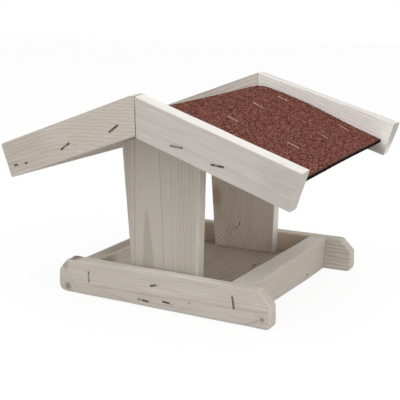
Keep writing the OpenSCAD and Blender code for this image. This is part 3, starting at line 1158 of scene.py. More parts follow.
@dataclass
class Board:
    """One board: a box with eased and rubbed edges, trimmed to its outline and set in its place."""

    node: str
    size: Triple
    place: Place
    finish: WashedWood
    slot: str = "washed_wood"
    trim: Callable[[np.ndarray], np.ndarray] = untrimmed
    steps: Triple = (2.2, 1.6, 3.0)
    ease: float = 0.8
    dings: tuple[Ding, ...] = ()
    # How unevenly the edges are eased
    ease_uneven: float = 0.45
    ease_cell: Triple = (16.0, 7.0, 7.0)
    ease_least: float = 0.3
    # How the faces and the sawn ends are worn
    hollows: Wear = Wear(0.10, (70.0, 22.0, 22.0))
    fibres: Wear = Wear(0.03, (9.0, 2.4, 2.4))
    sawn_ends: Wear = Wear(0.14, (3.0, 2.6, 2.6))
    end_facing: float = 0.7
    # How far in the rubbed edges and dark ends reach, and how deep a staple still marks the skin
    edge_fade: float = 1.1
    end_fade: float = 0.7
    skin: float = 3.0

    def rubbed(self, points: np.ndarray) -> np.ndarray:
        """Eases the edges by uneven amounts and roughens the faces.

        Args:
            points: Points on the skin of the box.

        Returns:
            The same points on the worn board.
        """
        size, seed = np.array(self.size), self.finish.seed
        ease = self.ease * (1 + self.ease_uneven * value_noise(points / self.ease_cell, seed))
        eased, out = ease_box(points, size, np.clip(ease, self.ease_least, None))
        sink = self.hollows.at(points, seed + 1)
        sink += self.fibres.at(points, seed + 2)
        ends = np.abs(out[:, 0]) > self.end_facing
        sink += ends * self.sawn_ends.at(points, seed + 3)
        for ding in self.dings:
            gap = np.linalg.norm(points - np.array(ding.at), axis=1) / ding.radius
            sink += ding.depth * np.clip(1 - gap * gap, 0, None) ** 2
        return eased - out * sink[:, None]

    def stains(self, staples: Staples) -> list[Stain]:
        """Finds the marks of the staples that lie in the board's skin.

        Args:
            staples: All the staples of the feeder.

        Returns:
            The marks.
        """
        turn = np.array([self.place.along, self.place.across, self.place.through])
        found = []
        for crown, start, end in staples.bared():
            middle = turn @ (crown.centre + crown.along * (start + end) / 2 - self.place.corner)
            if abs(np.maximum(-middle, middle - self.size).max()) < self.skin:
                found.append(Stain(tuple(middle), tuple(turn @ crown.along), (end - start) / 2))
        return found

    def build(self, staples: Staples) -> None:
        """Makes the board's mesh and dresses it.

        Args:
            staples: The staples that are driven into it.
        """
        size = np.array(self.size)
        lines = [grid_lines(*pair, self.ease) for pair in zip(self.size, self.steps)]
        points, quads, _ = shell(lines)
        grain = self.trim(self.rubbed(points))
        placed = staples.press(self.place.to_frame(grain), staples.dent)
        piece = mesh_object(f"{self.node}_wood", placed, outward(placed, quads))
        away = np.minimum(points, size - points)
        set_attribute(piece, GRAIN, grain)
        set_attribute(piece, EDGE, np.exp(-np.sort(away, axis=1)[:, 1] / self.edge_fade))
        set_attribute(piece, END, np.exp(-away[:, 0] / self.end_fade))
        facing = np.zeros(len(points) * 3, np.float32)
        piece.data.vertices.foreach_get("normal", facing)
        set_attribute(piece, UP, facing[2::3])
        piece.data.materials.append(self.finish.material(f"{self.node}_wash", self.stains(staples)))
        hand_over(piece, self.node, self.slot)


@dataclass
class Tray:
    """The floor board and the four rails round it."""

    tray_w: float = 148.0
    tray_d: float = 172.0
    floor_t: float = 12.0
    rail_len: float = 232.0
    rail_h: float = 34.0
    rail_t: float = 12.0
    rail_chamfer: float = 12.5
    rail_round: float = 6.0
    back_rail_shift: float = 3.5
    side_rail_t: float = 18.0
    side_rail_lean: float = 5.0
    # Spacing of the floor's grid lines, and the stretch of a long rail that its corners draw in
    floor_steps: Triple = (3.0, 3.0, 3.0)
    rail_end_len: float = 26.0
    # Forms that only the dressed rails have
    front_rail_rise: float = 1.2
    right_wane: float = 4.0
    right_wane_len: float = 125.0
    right_twist: float = 4.2

    @property
    def long_rail_size(self) -> Triple:
        """Length, height and thickness of the front rail and the back rail."""
        return self.rail_len, self.rail_h, self.rail_t

    def rail_end(self, height: np.ndarray) -> np.ndarray:
        """Gives how far a long rail reaches from its middle at a height.

        Args:
            height: Heights above the rail's underside.

        Returns:
            The reach at each height.
        """
        low = np.clip(self.rail_round - height, 0, self.rail_round)
        high = np.clip(height - self.rail_h + self.rail_chamfer, 0, None)
        corner = self.rail_round - np.sqrt(self.rail_round ** 2 - low ** 2)
        return self.rail_len / 2 - corner - high

    def trim_long_rail(self, points: np.ndarray) -> np.ndarray:
        """Cuts the corners of a long rail.

        Args:
            points: Points of the plain rail.

        Returns:
            The points drawn in to the rail's ends.
        """
        half = self.rail_len / 2
        plain = half - self.rail_end_len
        off = points[:, 0] - half
        past = np.clip(np.abs(off) - plain, 0, None)
        end = self.rail_end(points[:, 1])
        drawn = np.minimum(np.abs(off), plain) + past * (end - plain) / (half - plain)
        trimmed = points.copy()
        trimmed[:, 0] = half + np.sign(off) * drawn
        return trimmed

    def trim_front_rail(self, points: np.ndarray) -> np.ndarray:
        """Cuts the corners of the front rail, which stands a little higher than the other rails.

        Args:
            points: Points of the plain rail.

        Returns:
            The points of the cut rail.
        """
        trimmed = self.trim_long_rail(points)
        trimmed[:, 1] *= 1 + self.front_rail_rise / self.rail_h
        return trimmed

    def trim_side_rail(self, slope: Slope) -> Callable[[np.ndarray], np.ndarray]:
        """Makes the function that leans the outer face of a side rail.

        Args:
            slope: The side that the rail is on. At the front the right rail has a rounded foot,
                and its inner top edge stands in.

        Returns:
            A function from points of the plain rail to points of the leaning one.
        """
        wane, twist = (self.right_wane, self.right_twist) if slope is Slope.RIGHT else (0.0, 0.0)

        def lean(points: np.ndarray) -> np.ndarray:
            """Draws the outer face in towards the foot, and at the front the foot up and the top in.

            Args:
                points: Points of the plain rail.

            Returns:
                The points of the leaning rail.
            """
            foot_in = (self.rail_h - points[:, 1]) * math.tan(math.radians(self.side_rail_lean))
            leaned = points.copy()
            leaned[:, 2] *= 1 - foot_in / self.side_rail_t
            front = np.clip(1 - points[:, 0] / self.right_wane_len, 0, 1)
            outer = points[:, 2] / self.side_rail_t
            leaned[:, 1] += wane * front * outer * (1 - points[:, 1] / self.rail_h)
            high = np.clip((points[:, 1] - self.floor_t) / (self.rail_h - self.floor_t), 0, 1)
            leaned[:, 2] -= twist * (1 - outer) * high * (1 - points[:, 0] / self.tray_d)
            return leaned
        return lean

    def front_rail(self) -> Board:
        """Makes the front rail, which is knotted and chipped at its ends.

        Returns:
            The board.
        """
        finish = WashedWood(
            3, wash=(0.465, 0.428, 0.382), raw=(0.318, 0.277, 0.24), ring=2.2, pith=(6.0, 1.0),
            warp=1.2, sweep=(-0.03, 300.0), contrast=0.32, painted_top_light=0.95,
            painted_top_tone=(0.70, 0.67, 0.62), end_dark=1.0,
            knots=(KnotOrShade(45.0, 36.2, 62.0, 3.0, 0.5, 0.0, (0.46, 0.42, 0.365)),
                   KnotOrShade(212.0, 36.2, 42.0, 3.0, 0.55, 0.0, (0.46, 0.42, 0.365)),
                   KnotOrShade(11.2, 6.3, 4.3, 4.2, 0.7, 3.0, (0.19, 0.135, 0.095)),
                   KnotOrShade(18.5, 36.0, 8.0, 2.6, 0.8, 0.0, (0.15, 0.095, 0.07)),
                   KnotOrShade(9.0, 27.5, 4.0, 6.5, 0.45, 0.0, (0.22, 0.165, 0.125)),
                   KnotOrShade(223.4, 9.4, 2.8, 2.3, 0.65, 5.0, (0.14, 0.105, 0.08)),
                   KnotOrShade(150.3, 12.0, 1.3, 1.1, 0.55, 0.0)),
            streaks=(Streak(9.5, 1.0, 0.6, 40.0, 232.0, 0.027),
                     Streak(16.0, 1.0, 0.6, 46.0, 86.0, -0.16),
                     Streak(-84.4, 1.8, 0.8, 203.0, 226.0, 0.42)))
        place = Place((-self.rail_len / 2, -self.tray_d / 2, 0), (1, 0, 0), (0, 0, 1), (0, -1, 0))
        dings = (Ding((21.0, 34.0, 8.0), 9.0, 0.8), Ding((0.0, 0.0, 12.0), 7.0, 1.2),
                 Ding((0.0, 21.5, 8.0), 9.0, 1.5), Ding((0.0, 34.0, 8.0), 10.0, 1.6))
        return Board("front_rail", self.long_rail_size, place, finish,
                     trim=self.trim_front_rail, ease=2.0, dings=dings)

    def back_rail(self) -> Board:
        """Makes the back rail, which sits further to the right and has warm bounce light painted on
        its inner face.

        Returns:
            The board.
        """
        finish = WashedWood(
            4, wash=(0.50, 0.463, 0.41), raw=(0.28, 0.235, 0.19), pith=(-40.0, 30.0),
            contrast=0.52, painted_top_light=0.1, end_dark=1.0, end_bold=-0.2,
            # Painted light: a warm brown band on the inner face stands in for the light bounced
            # inside the tray
            streaks=(Streak(17.0, 70.0, 0.65, 20.0, 208.0, tone=(0.55, 0.41, 0.285), deep=1.0),))
        place = Place((self.back_rail_shift - self.rail_len / 2, self.tray_d / 2, 0),
                      (1, 0, 0), (0, 0, 1), (0, 1, 0))
        return Board("back_rail", self.long_rail_size, place, finish,
                     trim=self.trim_long_rail, ease=2.2)

    def side_rails(self) -> list[Board]:
        """Makes the left rail and the right rail.

        Returns:
            The boards.
        """
        finishes = {
            Slope.LEFT: WashedWood(
                5, wash=(0.43, 0.385, 0.325), raw=(0.28, 0.23, 0.18), ring=2.6, pith=(-66.0, 8.0),
                warp=1.6, contrast=0.35, painted_top_light=0.1,
                # Painted light and shade on the inner face: the pale band lightens its front part,
                # where the front post shades it; the dark band is painted shade in the top front
                # corner
                streaks=(Streak(17.0, 70.0, 1.0, 0.0, 120.0, tone=(0.84, 0.77, 0.67), deep=1.0),
                         Streak(27.0, 14.0, 0.8, -6.0, 34.0, tone=(0.26, 0.19, 0.13), deep=1.0))),
            Slope.RIGHT: WashedWood(
                6, wash=(0.375, 0.342, 0.298), raw=(0.26, 0.22, 0.183), worn=(0.44, 0.405, 0.36),
                ring=2.6, pith=(-66.0, 8.0), sweep=(0.12, 400.0), warp=1.6, contrast=0.4,
                painted_top_light=0.85, painted_top_tone=(0.645, 0.605, 0.55), edge_wear_and_highlight=0.3),
        }
        size = (self.tray_d, self.rail_h, self.side_rail_t)
        boards = []
        for slope, finish in finishes.items():
            sign = slope.value
            place = Place((sign * self.tray_w / 2, -self.tray_d / 2, 0),
                          (0, 1, 0), (0, 0, 1), (sign, 0, 0))
            boards.append(Board(f"{slope.name.lower()}_rail", size, place, finish,
                                trim=self.trim_side_rail(slope)))
        return boards

    def floor_board(self) -> Board:
        """Makes the floor board.

        Returns:
            The board.
        """
        finish = WashedWood(
            7, wash=(0.41, 0.345, 0.277), raw=(0.28, 0.215, 0.16), ring=3.4, pith=(60.0, -60.0),
            contrast=0.25, painted_top_light=0.0, brushed=0.2,
            knots=(KnotOrShade(115.0, 110.0, 4.5, 1.5, 0.9, 2.0, (0.10, 0.07, 0.05)),))
        place = Place((-self.tray_w / 2, -self.tray_d / 2, 0), (0, 1, 0), (1, 0, 0), (0, 0, 1))
        return Board("floor_board", (self.tray_d, self.tray_w, self.floor_t), place, finish,
                     slot="floor_wood", steps=self.floor_steps)

    def boards(self) -> list[Board]:
        """Lists the tray's five boards."""
        return [self.floor_board(), self.front_rail(), self.back_rail(), *self.side_rails()]


@dataclass
class RoofLines:
    """The lines that the roof is set out from: its ridge, its pitch and the depths below them."""

    pitch: float = 19.0
    ridge_h: float = 201.0
    depth: float = 221.0
    board_t: float = 16.5
    left_len: float = 151.0
    right_short: float = 17.0
    felt_t: float = 3.0
    felt_past_board: float = 4.0
    felt_out_of_square: float = 7.0
    felt_side_gap: float = 0.4
    barge_past_board: float = 8.0
    barge_w: float = 35.0
    barge_t: float = 13.5
    barge_stand: float = 13.5
    slack_turn: float = 2.0
    slack_short: float = 3.0
    high_rise: float = 2.0

    @property
    def tan(self) -> float:
        """Fall of the roof for each millimetre out from the ridge."""
        return math.tan(math.radians(self.pitch))

    @property
    def board_top(self) -> float:
        """Depth of the roof boards' tops below the line of the barge boards."""
        return self.barge_stand + self.felt_t

    @property
    def barge_len(self) -> float:
        """Length of a barge board along its top edge."""
        return self.left_len + self.board_top * self.tan + self.barge_past_board

    def slope_place(self, slope: Slope, y: float, facing: float, pitch: float) -> Place:
        """Places a board on a slope, with its length down the slope and its width down from it.

        Args:
            slope: The slope that it lies on.
            y: Where its near face lies from front to back.
            facing: The side that its thickness grows to, -1 for the front and 1 for the back.
            pitch: Slope of the board, in degrees.

        Returns:
            The place.
        """
        sign, angle = slope.value, math.radians(pitch)
        down = (sign * math.cos(angle), 0.0, -math.sin(angle))
        under = (-sign * math.sin(angle), 0.0, -math.cos(angle))
        return Place((0.0, y, self.ridge_h), down, under, (0.0, facing, 0.0))


@dataclass
class Posts:
    """The two tapered posts, cut to the roof at their heads."""

    roof: RoofLines
    tray: Tray
    post_t: float = 12.0
    foot_w: float = 70.0
    head_w: float = 84.0
    ease: float = 0.55

    @property
    def peak(self) -> float:
        """Height of a post's peak under the roof boards.

        Returns:
            The height above the ground.
        """
        roof = self.roof
        under = roof.board_top + roof.board_t
        return roof.ridge_h - under / math.cos(math.radians(roof.pitch))

    def trim(self, points: np.ndarray) -> np.ndarray:
        """Tapers a post and cuts its head to both slopes of the roof.

        Args:
            points: Points of the plain post, its foot at zero.

        Returns:
            The points of the shaped post.
        """
        tall = self.peak - self.tray.floor_t
        share = points[:, 1] / self.head_w * 2 - 1
        top = tall - np.abs(share) * self.head_w / 2 * self.roof.tan
        up = points[:, 0] / tall * top
        shoulder = tall - self.head_w / 2 * self.roof.tan
        half = (self.foot_w + (self.head_w - self.foot_w) * np.clip(up / shoulder, 0, 1)) / 2
        return np.stack([up, share * half, points[:, 2]], axis=1)

    def boards(self) -> list[Board]:
        """Lists the two posts with their finishes.

        Returns:
            The boards.
        """
        size = (self.peak - self.tray.floor_t, self.head_w, self.post_t)
        finishes = {
            Gable.FRONT: WashedWood(
                # The pale worn tone and strong edge wear give this post a painted highlight along
                # its arrises, partly real wear
                8, wash=(0.397, 0.365, 0.319), raw=(0.265, 0.225, 0.185), worn=(0.54, 0.51, 0.47),
                ring=2.7, pith=(-70.0, 18.0), warp=0.9, contrast=0.1, fibres=0.32, brushed=0.12,
                edge_wear_and_highlight=0.8,
                # The wide streak at -41 is painted shade: a darker band down the left of the face,
                # under the barge board's shadow
                streaks=(Streak(-33.2, 0.9, 0.7, lean=0.040), Streak(-41.0, 6.0, 0.35, lean=0.040),
                         Streak(1.0, 0.9, 0.55, lean=-0.016), Streak(10.8, 0.8, 0.3),
                         Streak(15.0, 0.7, 0.3), Streak(18.3, 0.7, 0.5), Streak(20.6, 0.6, 0.35),
                         Streak(22.7, 0.7, 0.5), Streak(25.6, 0.7, 0.5), Streak(28.3, 0.6, 0.35),
                         Streak(30.6, 0.7, 0.5), Streak(33.6, 0.7, 0.35)),
                flames=(Flame(76.0, -16.8, 54.0, 6.3, 0.9),)),
            Gable.BACK: WashedWood(
                9, wash=(0.60, 0.52, 0.445), raw=(0.25, 0.19, 0.15), ring=2.15,
                whorl=(54.0, -44.0), warp=0.9, contrast=0.72, brushed=0.15,
                # This pale streak is painted light on the post's right side face, which the lamps
                # leave darker
                streaks=(Streak(35.8, 2.6, 1.0, lean=0.056, tone=(0.55, 0.53, 0.50)),),
                knots=(
                    KnotOrShade(56.0, -33.0, 15.0, 7.5, 0.6, 0.0, (0.27, 0.18, 0.13)),
                    KnotOrShade(10.0, -30.0, 20.0, 14.0, 0.3, 0.0, (0.66, 0.59, 0.51)),
                    KnotOrShade(28.0, -4.2, 2.8, 0.8, 0.9, 0.0, (0.07, 0.05, 0.04)),
                    KnotOrShade(23.8, -7.4, 1.9, 0.6, 0.8, 0.0, (0.07, 0.05, 0.04)),
                    KnotOrShade(23.2, -10.3, 1.7, 0.5, 0.7, 0.0, (0.07, 0.05, 0.04)))),
        }
        boards = []
        for gable, finish in finishes.items():
            sign = gable.value
            inner = sign * (self.tray.tray_d / 2 - self.post_t)
            boards.append(Board(
                f"{gable.name.lower()}_post", size,
                Place((0, inner, self.tray.floor_t), (0, 0, 1), (1, 0, 0), (0, sign, 0)),
                finish, trim=self.trim, ease=self.ease))
        return boards


@dataclass
class Roof:
    """The two roof boards and the four barge boards."""

    lines: RoofLines
    top_fall: float = 1.2
    open_joint: float = 0.3
    shut_joint: float = -0.1
    end_skew: float = 2.2
    front_ease: float = 0.8
    back_ease: float = 0.5
    barge_steps: Triple = (1.8, 1.4, 3.0)
    board_steps: Triple = (3.4, 3.0, 3.0)
    board_seed: int = 15

    def trim_barge(self, pitch: float, long: float, gable: Gable, rise: float, skew: float
                   ) -> Callable[[np.ndarray], np.ndarray]:
        """Makes the function that cuts a barge board upright at the ridge and lifts it.

        Args:
            pitch: Slope of the board, in degrees.
            long: Length of the board along its top edge.
            gable: The gable that it is on. At the front its top edge falls and its joint is open.
            rise: How much higher it is fixed. Its peak is cut level with the ridge.
            skew: How far the lower corner of its end is drawn in.

        Returns:
            A function from points of the plain board to points of the cut one.
        """
        front = gable is Gable.FRONT
        fall, joint = (self.top_fall, self.open_joint) if front else (0.0, self.shut_joint)
        tan = math.tan(math.radians(pitch))
        wide, thick = self.lines.barge_w, self.lines.barge_t

        def mitre(points: np.ndarray) -> np.ndarray:
            """Draws the ridge end back by more towards the lower edge.

            Args:
                points: Points of the plain board.

            Returns:
                The points of the cut board.
            """
            cut = points.copy()
            cut[:, 1] -= rise
            gap = joint * points[:, 2] / thick
            cut[:, 0] += (cut[:, 1] * tan + gap) * (1 - points[:, 0] / long)
            cut[:, 0] -= skew * points[:, 1] / wide * points[:, 0] / long
            cut[:, 1] = np.maximum(cut[:, 1], -cut[:, 0] * tan)
            cut[:, 1] += fall * points[:, 2] / thick * (1 - points[:, 1] / wide)
            return cut
        return mitre

    def barge_looks(self) -> dict[tuple[Gable, Slope], tuple[WashedWood, tuple[Ding, ...]]]:
        """Lists the looks of the barge boards.

        Returns:
            The finish and the dents of the board on each gable and slope.
        """
        lines = self.lines
        end = lines.barge_len
        return {
            (Gable.FRONT, Slope.LEFT): (
                WashedWood(11, wash=(0.455, 0.412, 0.367), ring=2.7, pith=(90.0, -30.0), warp=1.2,
                           contrast=0.55, sweep=(0.33, 96.0), painted_top_light=0.85, brushed=0.25,
                           painted_top_tone=(0.62, 0.595, 0.555),
                           streaks=(Streak(16.0, 60.0, 0.3, 100.0),), knots=(
                               KnotOrShade(154.6, 22.9, 2.9, 1.1, 1.0, 0.0, (0.035, 0.028, 0.022)),
                               KnotOrShade(140.9, 24.3, 2.4, 1.0, 1.0, 0.0, (0.035, 0.028, 0.022)))),
                (Ding((end, lines.barge_w, 10.0), 5.0, 1.0), Ding((end, 0.0, 13.0), 4.0, 0.6))),
            (Gable.FRONT, Slope.RIGHT): (
                WashedWood(12, wash=(0.438, 0.410, 0.377), raw=(0.295, 0.268, 0.243), ring=5.5,
                           worn=(0.52, 0.495, 0.46), pith=(70.0, -70.0), contrast=0.2, cloud=0.4,
                           brushed=0.4, painted_top_light=0.9, painted_top_tone=(0.62, 0.605, 0.575),
                           streaks=(Streak(16.0, 60.0, 0.3, 120.0),)),
                (Ding((146.5, 0.0, 12.0), 5.0, 1.4), Ding((end, lines.barge_w - 4, 9.0), 4.0, 1.0),
                 Ding((end, 18.0, 13.5), 5.0, 0.7))),
            # On both back barge boards the tone painted on up-facing faces is darker than the wash:
            # painted shade on their tops
            (Gable.BACK, Slope.LEFT): (
                WashedWood(13, wash=(0.64, 0.60, 0.55), ring=4.2, contrast=0.4, end_dark=0.0,
                           painted_top_light=0.95, painted_top_tone=(0.48, 0.46, 0.435)), ()),
            (Gable.BACK, Slope.RIGHT): (
                WashedWood(14, wash=(0.76, 0.735, 0.70), raw=(0.54, 0.485, 0.45), ring=3.4,
                           worn=(0.76, 0.74, 0.71), pith=(80.0, 20.0), tilt=0.06, contrast=0.42,
                           end_dark=0.0, painted_top_light=0.95, painted_top_tone=(0.46, 0.445, 0.425),
                           knots=(KnotOrShade(end - lines.slack_short, 16.0, 2.6, 60.0, 0.9, 0.0,
                                       (0.29, 0.277, 0.257)),
                                  # Painted shadow: the felt's cast shadow on the barge board's inner
                                  # face below the eave, kept to that face
                                  KnotOrShade(150.0, 37.5, 15.5, 16.5, 1.0, 0.0,
                                       (0.31, 0.284, 0.252), deep=1.0))),
                (Ding((end - lines.slack_short, 0.0, lines.barge_t), 9.0, 1.1),)),
        }

    def barge_boards(self) -> list[Board]:
        """Lists the barge boards with their finishes.

        Returns:
            The boards.
        """
        lines, boards = self.lines, []
        for (gable, slope), (finish, dings) in self.barge_looks().items():
            slack = gable is Gable.BACK and slope is Slope.RIGHT
            pitch = lines.pitch - (lines.slack_turn if slack else 0.0)
            long = lines.barge_len - (lines.slack_short if slack else 0.0)
            high = gable is Gable.FRONT and slope is Slope.LEFT
            rise = lines.high_rise if high else 0.0
            y = gable.value * lines.depth / 2
            boards.append(Board(
                f"{gable.name.lower()}_{slope.name.lower()}_barge",
                (long, lines.barge_w, lines.barge_t),
                lines.slope_place(slope, y, gable.value, pitch), finish,
                trim=self.trim_barge(pitch, long, gable, rise, self.end_skew if slack else 0.0),
                steps=self.barge_steps, dings=dings,
                ease=self.front_ease if gable is Gable.FRONT else self.back_ease))
        return boards

    def roof_boards(self) -> list[Board]:
        """Lists the boards under the felt with their finish.

        Returns:
            The boards.
        """
        lines, boards = self.lines, []
        for slope in Slope:
            long = lines.left_len - (lines.right_short if slope is Slope.RIGHT else 0.0)
            eave = long + lines.board_top * lines.tan

            def mitre(points: np.ndarray, eave: float = eave) -> np.ndarray:
                """Draws the ridge edge back by more towards the underside.

                Args:
                    points: Points of the plain board.
                    eave: Distance from the ridge to the board's lower edge.

                Returns:
                    The points of the cut board.
                """
                cut = points.copy()
                start = (lines.board_top + points[:, 2]) * lines.tan
                cut[:, 1] = start + points[:, 1] / eave * (eave - start)
                return cut

            lay = lines.slope_place(slope, 0.0, 1.0, lines.pitch)
            corner = (np.array([0.0, -lines.depth / 2, lines.ridge_h])
                      + lines.board_top * np.array(lay.across))
            boards.append(Board(
                f"{slope.name.lower()}_roof_board", (lines.depth, eave, lines.board_t),
                Place(tuple(corner), (0, 1, 0), lay.along, lay.across),
                WashedWood(self.board_seed + slope.value, wash=(0.42, 0.37, 0.32),
                           raw=(0.27, 0.215, 0.17), ring=4.0, pith=(60.0, 70.0)),
                slot="roof_wood", trim=mitre, steps=self.board_steps))
        return boards


@dataclass
class Felt:
    """The sheet of mineral felt, folded over the ridge and stapled down."""

    lines: RoofLines
    finish: MineralFelt = MineralFelt()
    step: float = 1.5
    ease: float = 0.5
    fold: float = 2.0
    dent: float = 0.5
    # The stones' relief: its depth, the size of a stone and of a clump, and how they mix
    grit: float = 0.3
    stone: float = 1.7
    clump: float = 4.0
    clump_share: float = 0.7
    grit_mean: float = 0.6
    grit_swing: float = 0.5
    seed: int = 21
    # How ragged the cut edge is, and how far in it shows
    ragged: Wear = Wear(0.25, (6.0, 6.0, 9.0))
    edge_fade: float = 1.4
    # How high the sheet stands off the boards at the back, by the distance out from the ridge
    rise_out: tuple[float, ...] = (
        0.0, 5.0, 10.0, 18.0, 27.0, 45.0, 64.0, 82.0, 101.0, 120.0, 160.0)
    rise: tuple[float, ...] = (0.4, 2.2, 3.4, 4.0, 4.3, 4.5, 4.2, 3.0, 1.4, 0.0, -1.8)
    rise_soft: tuple[float, ...] = (-6.0, -4.0, -2.0, 0.0, 2.0, 4.0, 6.0)
    # How far to the front it stands off, and the share of it on the left slope
    rise_back: float = 130.0
    rise_left: float = 0.5
    rise_left_blend: float = 24.0

    def lay(self, points: np.ndarray, eave: float, half: float) -> np.ndarray:
        """Lays a flat sheet over both slopes.

        Args:
            points: Points of the flat sheet, its fold at zero and its top at full thickness.
            eave: Distance from the ridge to the eave, along the barge boards' line.
            half: Half the width of the sheet from front to back.

        Returns:
            The points on the roof.
        """
        lines = self.lines
        sign = np.sign(points[:, 0])
        depth = lines.board_top - points[:, 2]
        back = (points[:, 1] + half) / (2 * half)
        end = eave - np.where(sign > 0, lines.felt_out_of_square * back, 0.0)
        start = depth * lines.tan
        along = start + np.abs(points[:, 0]) / eave * (end - start)
        angle = math.radians(lines.pitch)
        x = along * math.cos(angle) - depth * math.sin(angle)
        z = lines.ridge_h - along * math.sin(angle) - depth * math.cos(angle)
        z -= lines.tan * (np.sqrt(x * x + self.fold ** 2) - x)
        return np.stack([sign * x, points[:, 1], z], axis=1)

    def raised(self, points: np.ndarray) -> np.ndarray:
        """Lifts points where the sheet stands off the boards, near the ridge at the back.

        Args:
            points: Points in the frame.

        Returns:
            The lifted points.
        """
        out = np.abs(points[:, 0]) / math.cos(math.radians(self.lines.pitch))
        rise = np.mean([np.interp(np.abs(out + gap), self.rise_out, self.rise)
                        for gap in self.rise_soft], axis=0)
        back = np.clip(1 - (self.lines.depth / 2 - points[:, 1]) / self.rise_back, 0, 1)
        ridge = (1 + self.rise_left) / 2
        side = np.clip(ridge + points[:, 0] / self.rise_left_blend, self.rise_left, 1.0)
        lifted = points.copy()
        lifted[:, 2] += rise * side * back * back * (3 - 2 * back)
        return lifted

    def build(self, staples: Staples) -> None:
        """Makes the sheet and dresses it.

        Args:
            staples: The staples that hold it down.
        """
        lines = self.lines
        eave = lines.left_len + lines.felt_past_board + lines.barge_stand * lines.tan
        half = lines.depth / 2 - lines.felt_side_gap
        size = np.array([2 * eave, 2 * half, lines.felt_t])
        points, quads, sides = shell([grid_lines(size[0], self.step, self.ease),
                                      grid_lines(size[1], self.step, self.ease),
                                      grid_lines(size[2], 1.0, self.ease)])
        eased, out = ease_box(points, size, np.full(len(points), self.ease))
        stones = value_noise(points / self.stone, self.seed)
        stones += self.clump_share * value_noise(points / self.clump, self.seed + 1)
        top = np.clip(out[:, 2], 0, 1)
        rim = np.clip(np.abs(out[:, 0]) + np.abs(out[:, 1]), 0, 1)
        sink = self.grit * top * (self.grit_mean + self.grit_swing * stones)
        sink += rim * self.ragged.at(points, self.seed + 2)
        flat = eased - out * np.clip(sink, 0, None)[:, None] - np.array([eave, half, 0.0])
        placed = self.raised(staples.press(self.lay(flat, eave, half), self.dent))
        piece = mesh_object("roof_felt_sheet", placed, outward(placed, quads))
        set_attribute(piece, GRAIN, flat)
        away = np.minimum(points, size - points)[:, :2].min(1)
        set_attribute(piece, EDGE, np.exp(-away / self.edge_fade))
        piece.data.materials.append(self.finish.top_material("mineral_granules"))
        piece.data.materials.append(self.finish.edge_material("bitumen_edge"))
        piece.data.polygons.foreach_set(
            "material_index", np.where(sides == Side.FACE_HIGH.value, 0, 1).astype(np.int32))
        hand_over(piece, "roof_felt", "mineral_felt")


@dataclass(frozen=True)
class Lamp:
    """One square soft lamp: its place, its side and its power in watts."""

    name: str
    at: Triple
    side: float
    watts: float


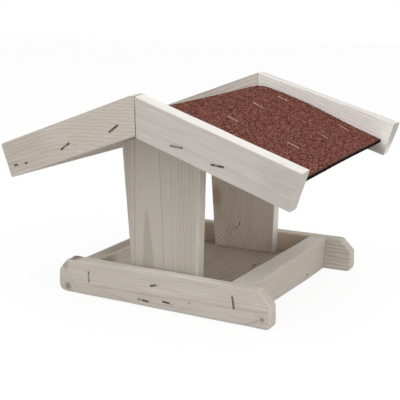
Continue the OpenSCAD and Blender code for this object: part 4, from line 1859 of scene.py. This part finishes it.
@dataclass
class Studio:
    """The camera, the lamps, the pale floor and the white surroundings."""

    azimuth: float = 30.49
    elevation: float = 13.39
    roll: float = -0.99
    distance: float = 845.5
    target: Triple = (-10.0, 0.0, 82.05)
    lens: float = 75.56
    sensor: float = 36.0
    clip: tuple[float, float] = (10.0, 60000.0)
    floor_size: float = 9000.0
    floor_drop: float = 0.4
    floor_shade: float = 0.82
    floor_glow: float = 0.90
    ambient: float = 0.95
    lamps: tuple[Lamp, ...] = (
        Lamp("top_lamp", (150.0, -350.0, 1500.0), 1300.0, 8.0),
        Lamp("right_lamp", (1800.0, -550.0, 750.0), 1600.0, 19.0),
    )

    def camera(self) -> None:
        """Sets the camera at the photograph's angle."""
        turn, lift, roll = (math.radians(a) for a in (self.azimuth, self.elevation, self.roll))
        back = Vector((math.sin(turn) * math.cos(lift), -math.cos(turn) * math.cos(lift),
                       math.sin(lift)))
        right = (-back).cross(Vector((0, 0, 1))).normalized()
        up = right.cross(-back)
        across = right * math.cos(roll) + up * math.sin(roll)
        high = up * math.cos(roll) - right * math.sin(roll)
        data = bpy.data.cameras.new("camera")
        data.lens, data.sensor_width = self.lens, self.sensor
        data.clip_start, data.clip_end = (reach * MM for reach in self.clip)
        camera = bpy.data.objects.new("camera", data)
        bpy.context.scene.collection.objects.link(camera)
        place = Vector(self.target) + back * self.distance
        camera.matrix_world = (Matrix.Translation(place * MM)
                               @ Matrix((across, high, back)).transposed().to_4x4())
        bpy.context.scene.camera = camera

    def seen(self, graph: Graph) -> bpy.types.NodeSocket:
        """Tells where the camera sees the surroundings, straight or in a shiny surface.

        Args:
            graph: The sheet of nodes.

        Returns:
            1 where it sees them, and 0 elsewhere.
        """
        rays = graph.add("ShaderNodeLightPath", {}).outputs
        shiny = graph.math("ADD", rays["Is Glossy Ray"], rays["Is Transmission Ray"])
        return graph.math("MINIMUM", graph.math("ADD", rays["Is Camera Ray"], shiny), 1.0)

    def surroundings(self) -> None:
        """Makes the world white to the camera and a plain soft light to the feeder."""
        world = bpy.data.worlds.new("surroundings")
        bpy.context.scene.world = world
        graph = Graph(world)
        soft = graph.add("ShaderNodeBackground", {0: (1.0, 1.0, 1.0, 1.0), 1: self.ambient})
        white = graph.add("ShaderNodeBackground", {0: (1.0, 1.0, 1.0, 1.0), 1: 1.0})
        both = graph.add("ShaderNodeMixShader", {
            0: self.seen(graph), 1: soft.outputs[0], 2: white.outputs[0]})
        graph.surface(both.outputs[0], "World")

    def floor(self) -> None:
        """Lays a pale floor that keeps the feeder's shadow."""
        half = self.floor_size / 2
        corners = np.array([(x * half, y * half, -self.floor_drop)
                            for x, y in ((-1, -1), (1, -1), (1, 1), (-1, 1))])
        floor = mesh_object("studio_floor", corners, np.array([[0, 1, 2, 3]]))
        made = bpy.data.materials.new("studio_floor")
        graph = Graph(made)
        paper = graph.add("ShaderNodeBsdfDiffuse", {0: (*(self.floor_shade,) * 3, 1.0)})
        glow = graph.add("ShaderNodeEmission", {0: (1.0, 1.0, 1.0, 1.0), 1: 1.0})
        share = graph.math("MULTIPLY", self.seen(graph), self.floor_glow)
        both = graph.add("ShaderNodeMixShader", {0: share, 1: paper.outputs[0], 2: glow.outputs[0]})
        graph.surface(both.outputs[0])
        floor.data.materials.append(made)

    def hang(self, lamp: Lamp) -> None:
        """Hangs one lamp that points at the feeder.

        Args:
            lamp: The lamp.
        """
        data = bpy.data.lights.new(lamp.name, "AREA")
        data.size, data.energy = lamp.side * MM, lamp.watts
        hung = bpy.data.objects.new(lamp.name, data)
        bpy.context.scene.collection.objects.link(hung)
        hung.location = Vector(lamp.at) * MM
        aim = Vector(self.target) * MM - hung.location
        hung.rotation_euler = aim.to_track_quat("-Z", "Y").to_euler()

    def build(self) -> None:
        """Sets up the whole studio."""
        bpy.context.scene.view_settings.view_transform = "Standard"
        self.camera()
        self.surroundings()
        self.floor()
        for lamp in self.lamps:
            self.hang(lamp)


def main() -> None:
    """Builds the feeder piece by piece, then the studio round it."""
    logging.basicConfig(level=logging.INFO, format="%(name)s: %(message)s")
    staples = Staples()
    staples.read()
    tray, lines = Tray(), RoofLines()
    roof = Roof(lines)
    for board in (*tray.boards(), *Posts(lines, tray).boards(), *roof.roof_boards(),
                  *roof.barge_boards()):
        board.build(staples)
    felt = Felt(lines)
    felt.build(staples)
    staples.build(felt.raised)
    Studio().build()


if __name__ == "__main__":
    main()
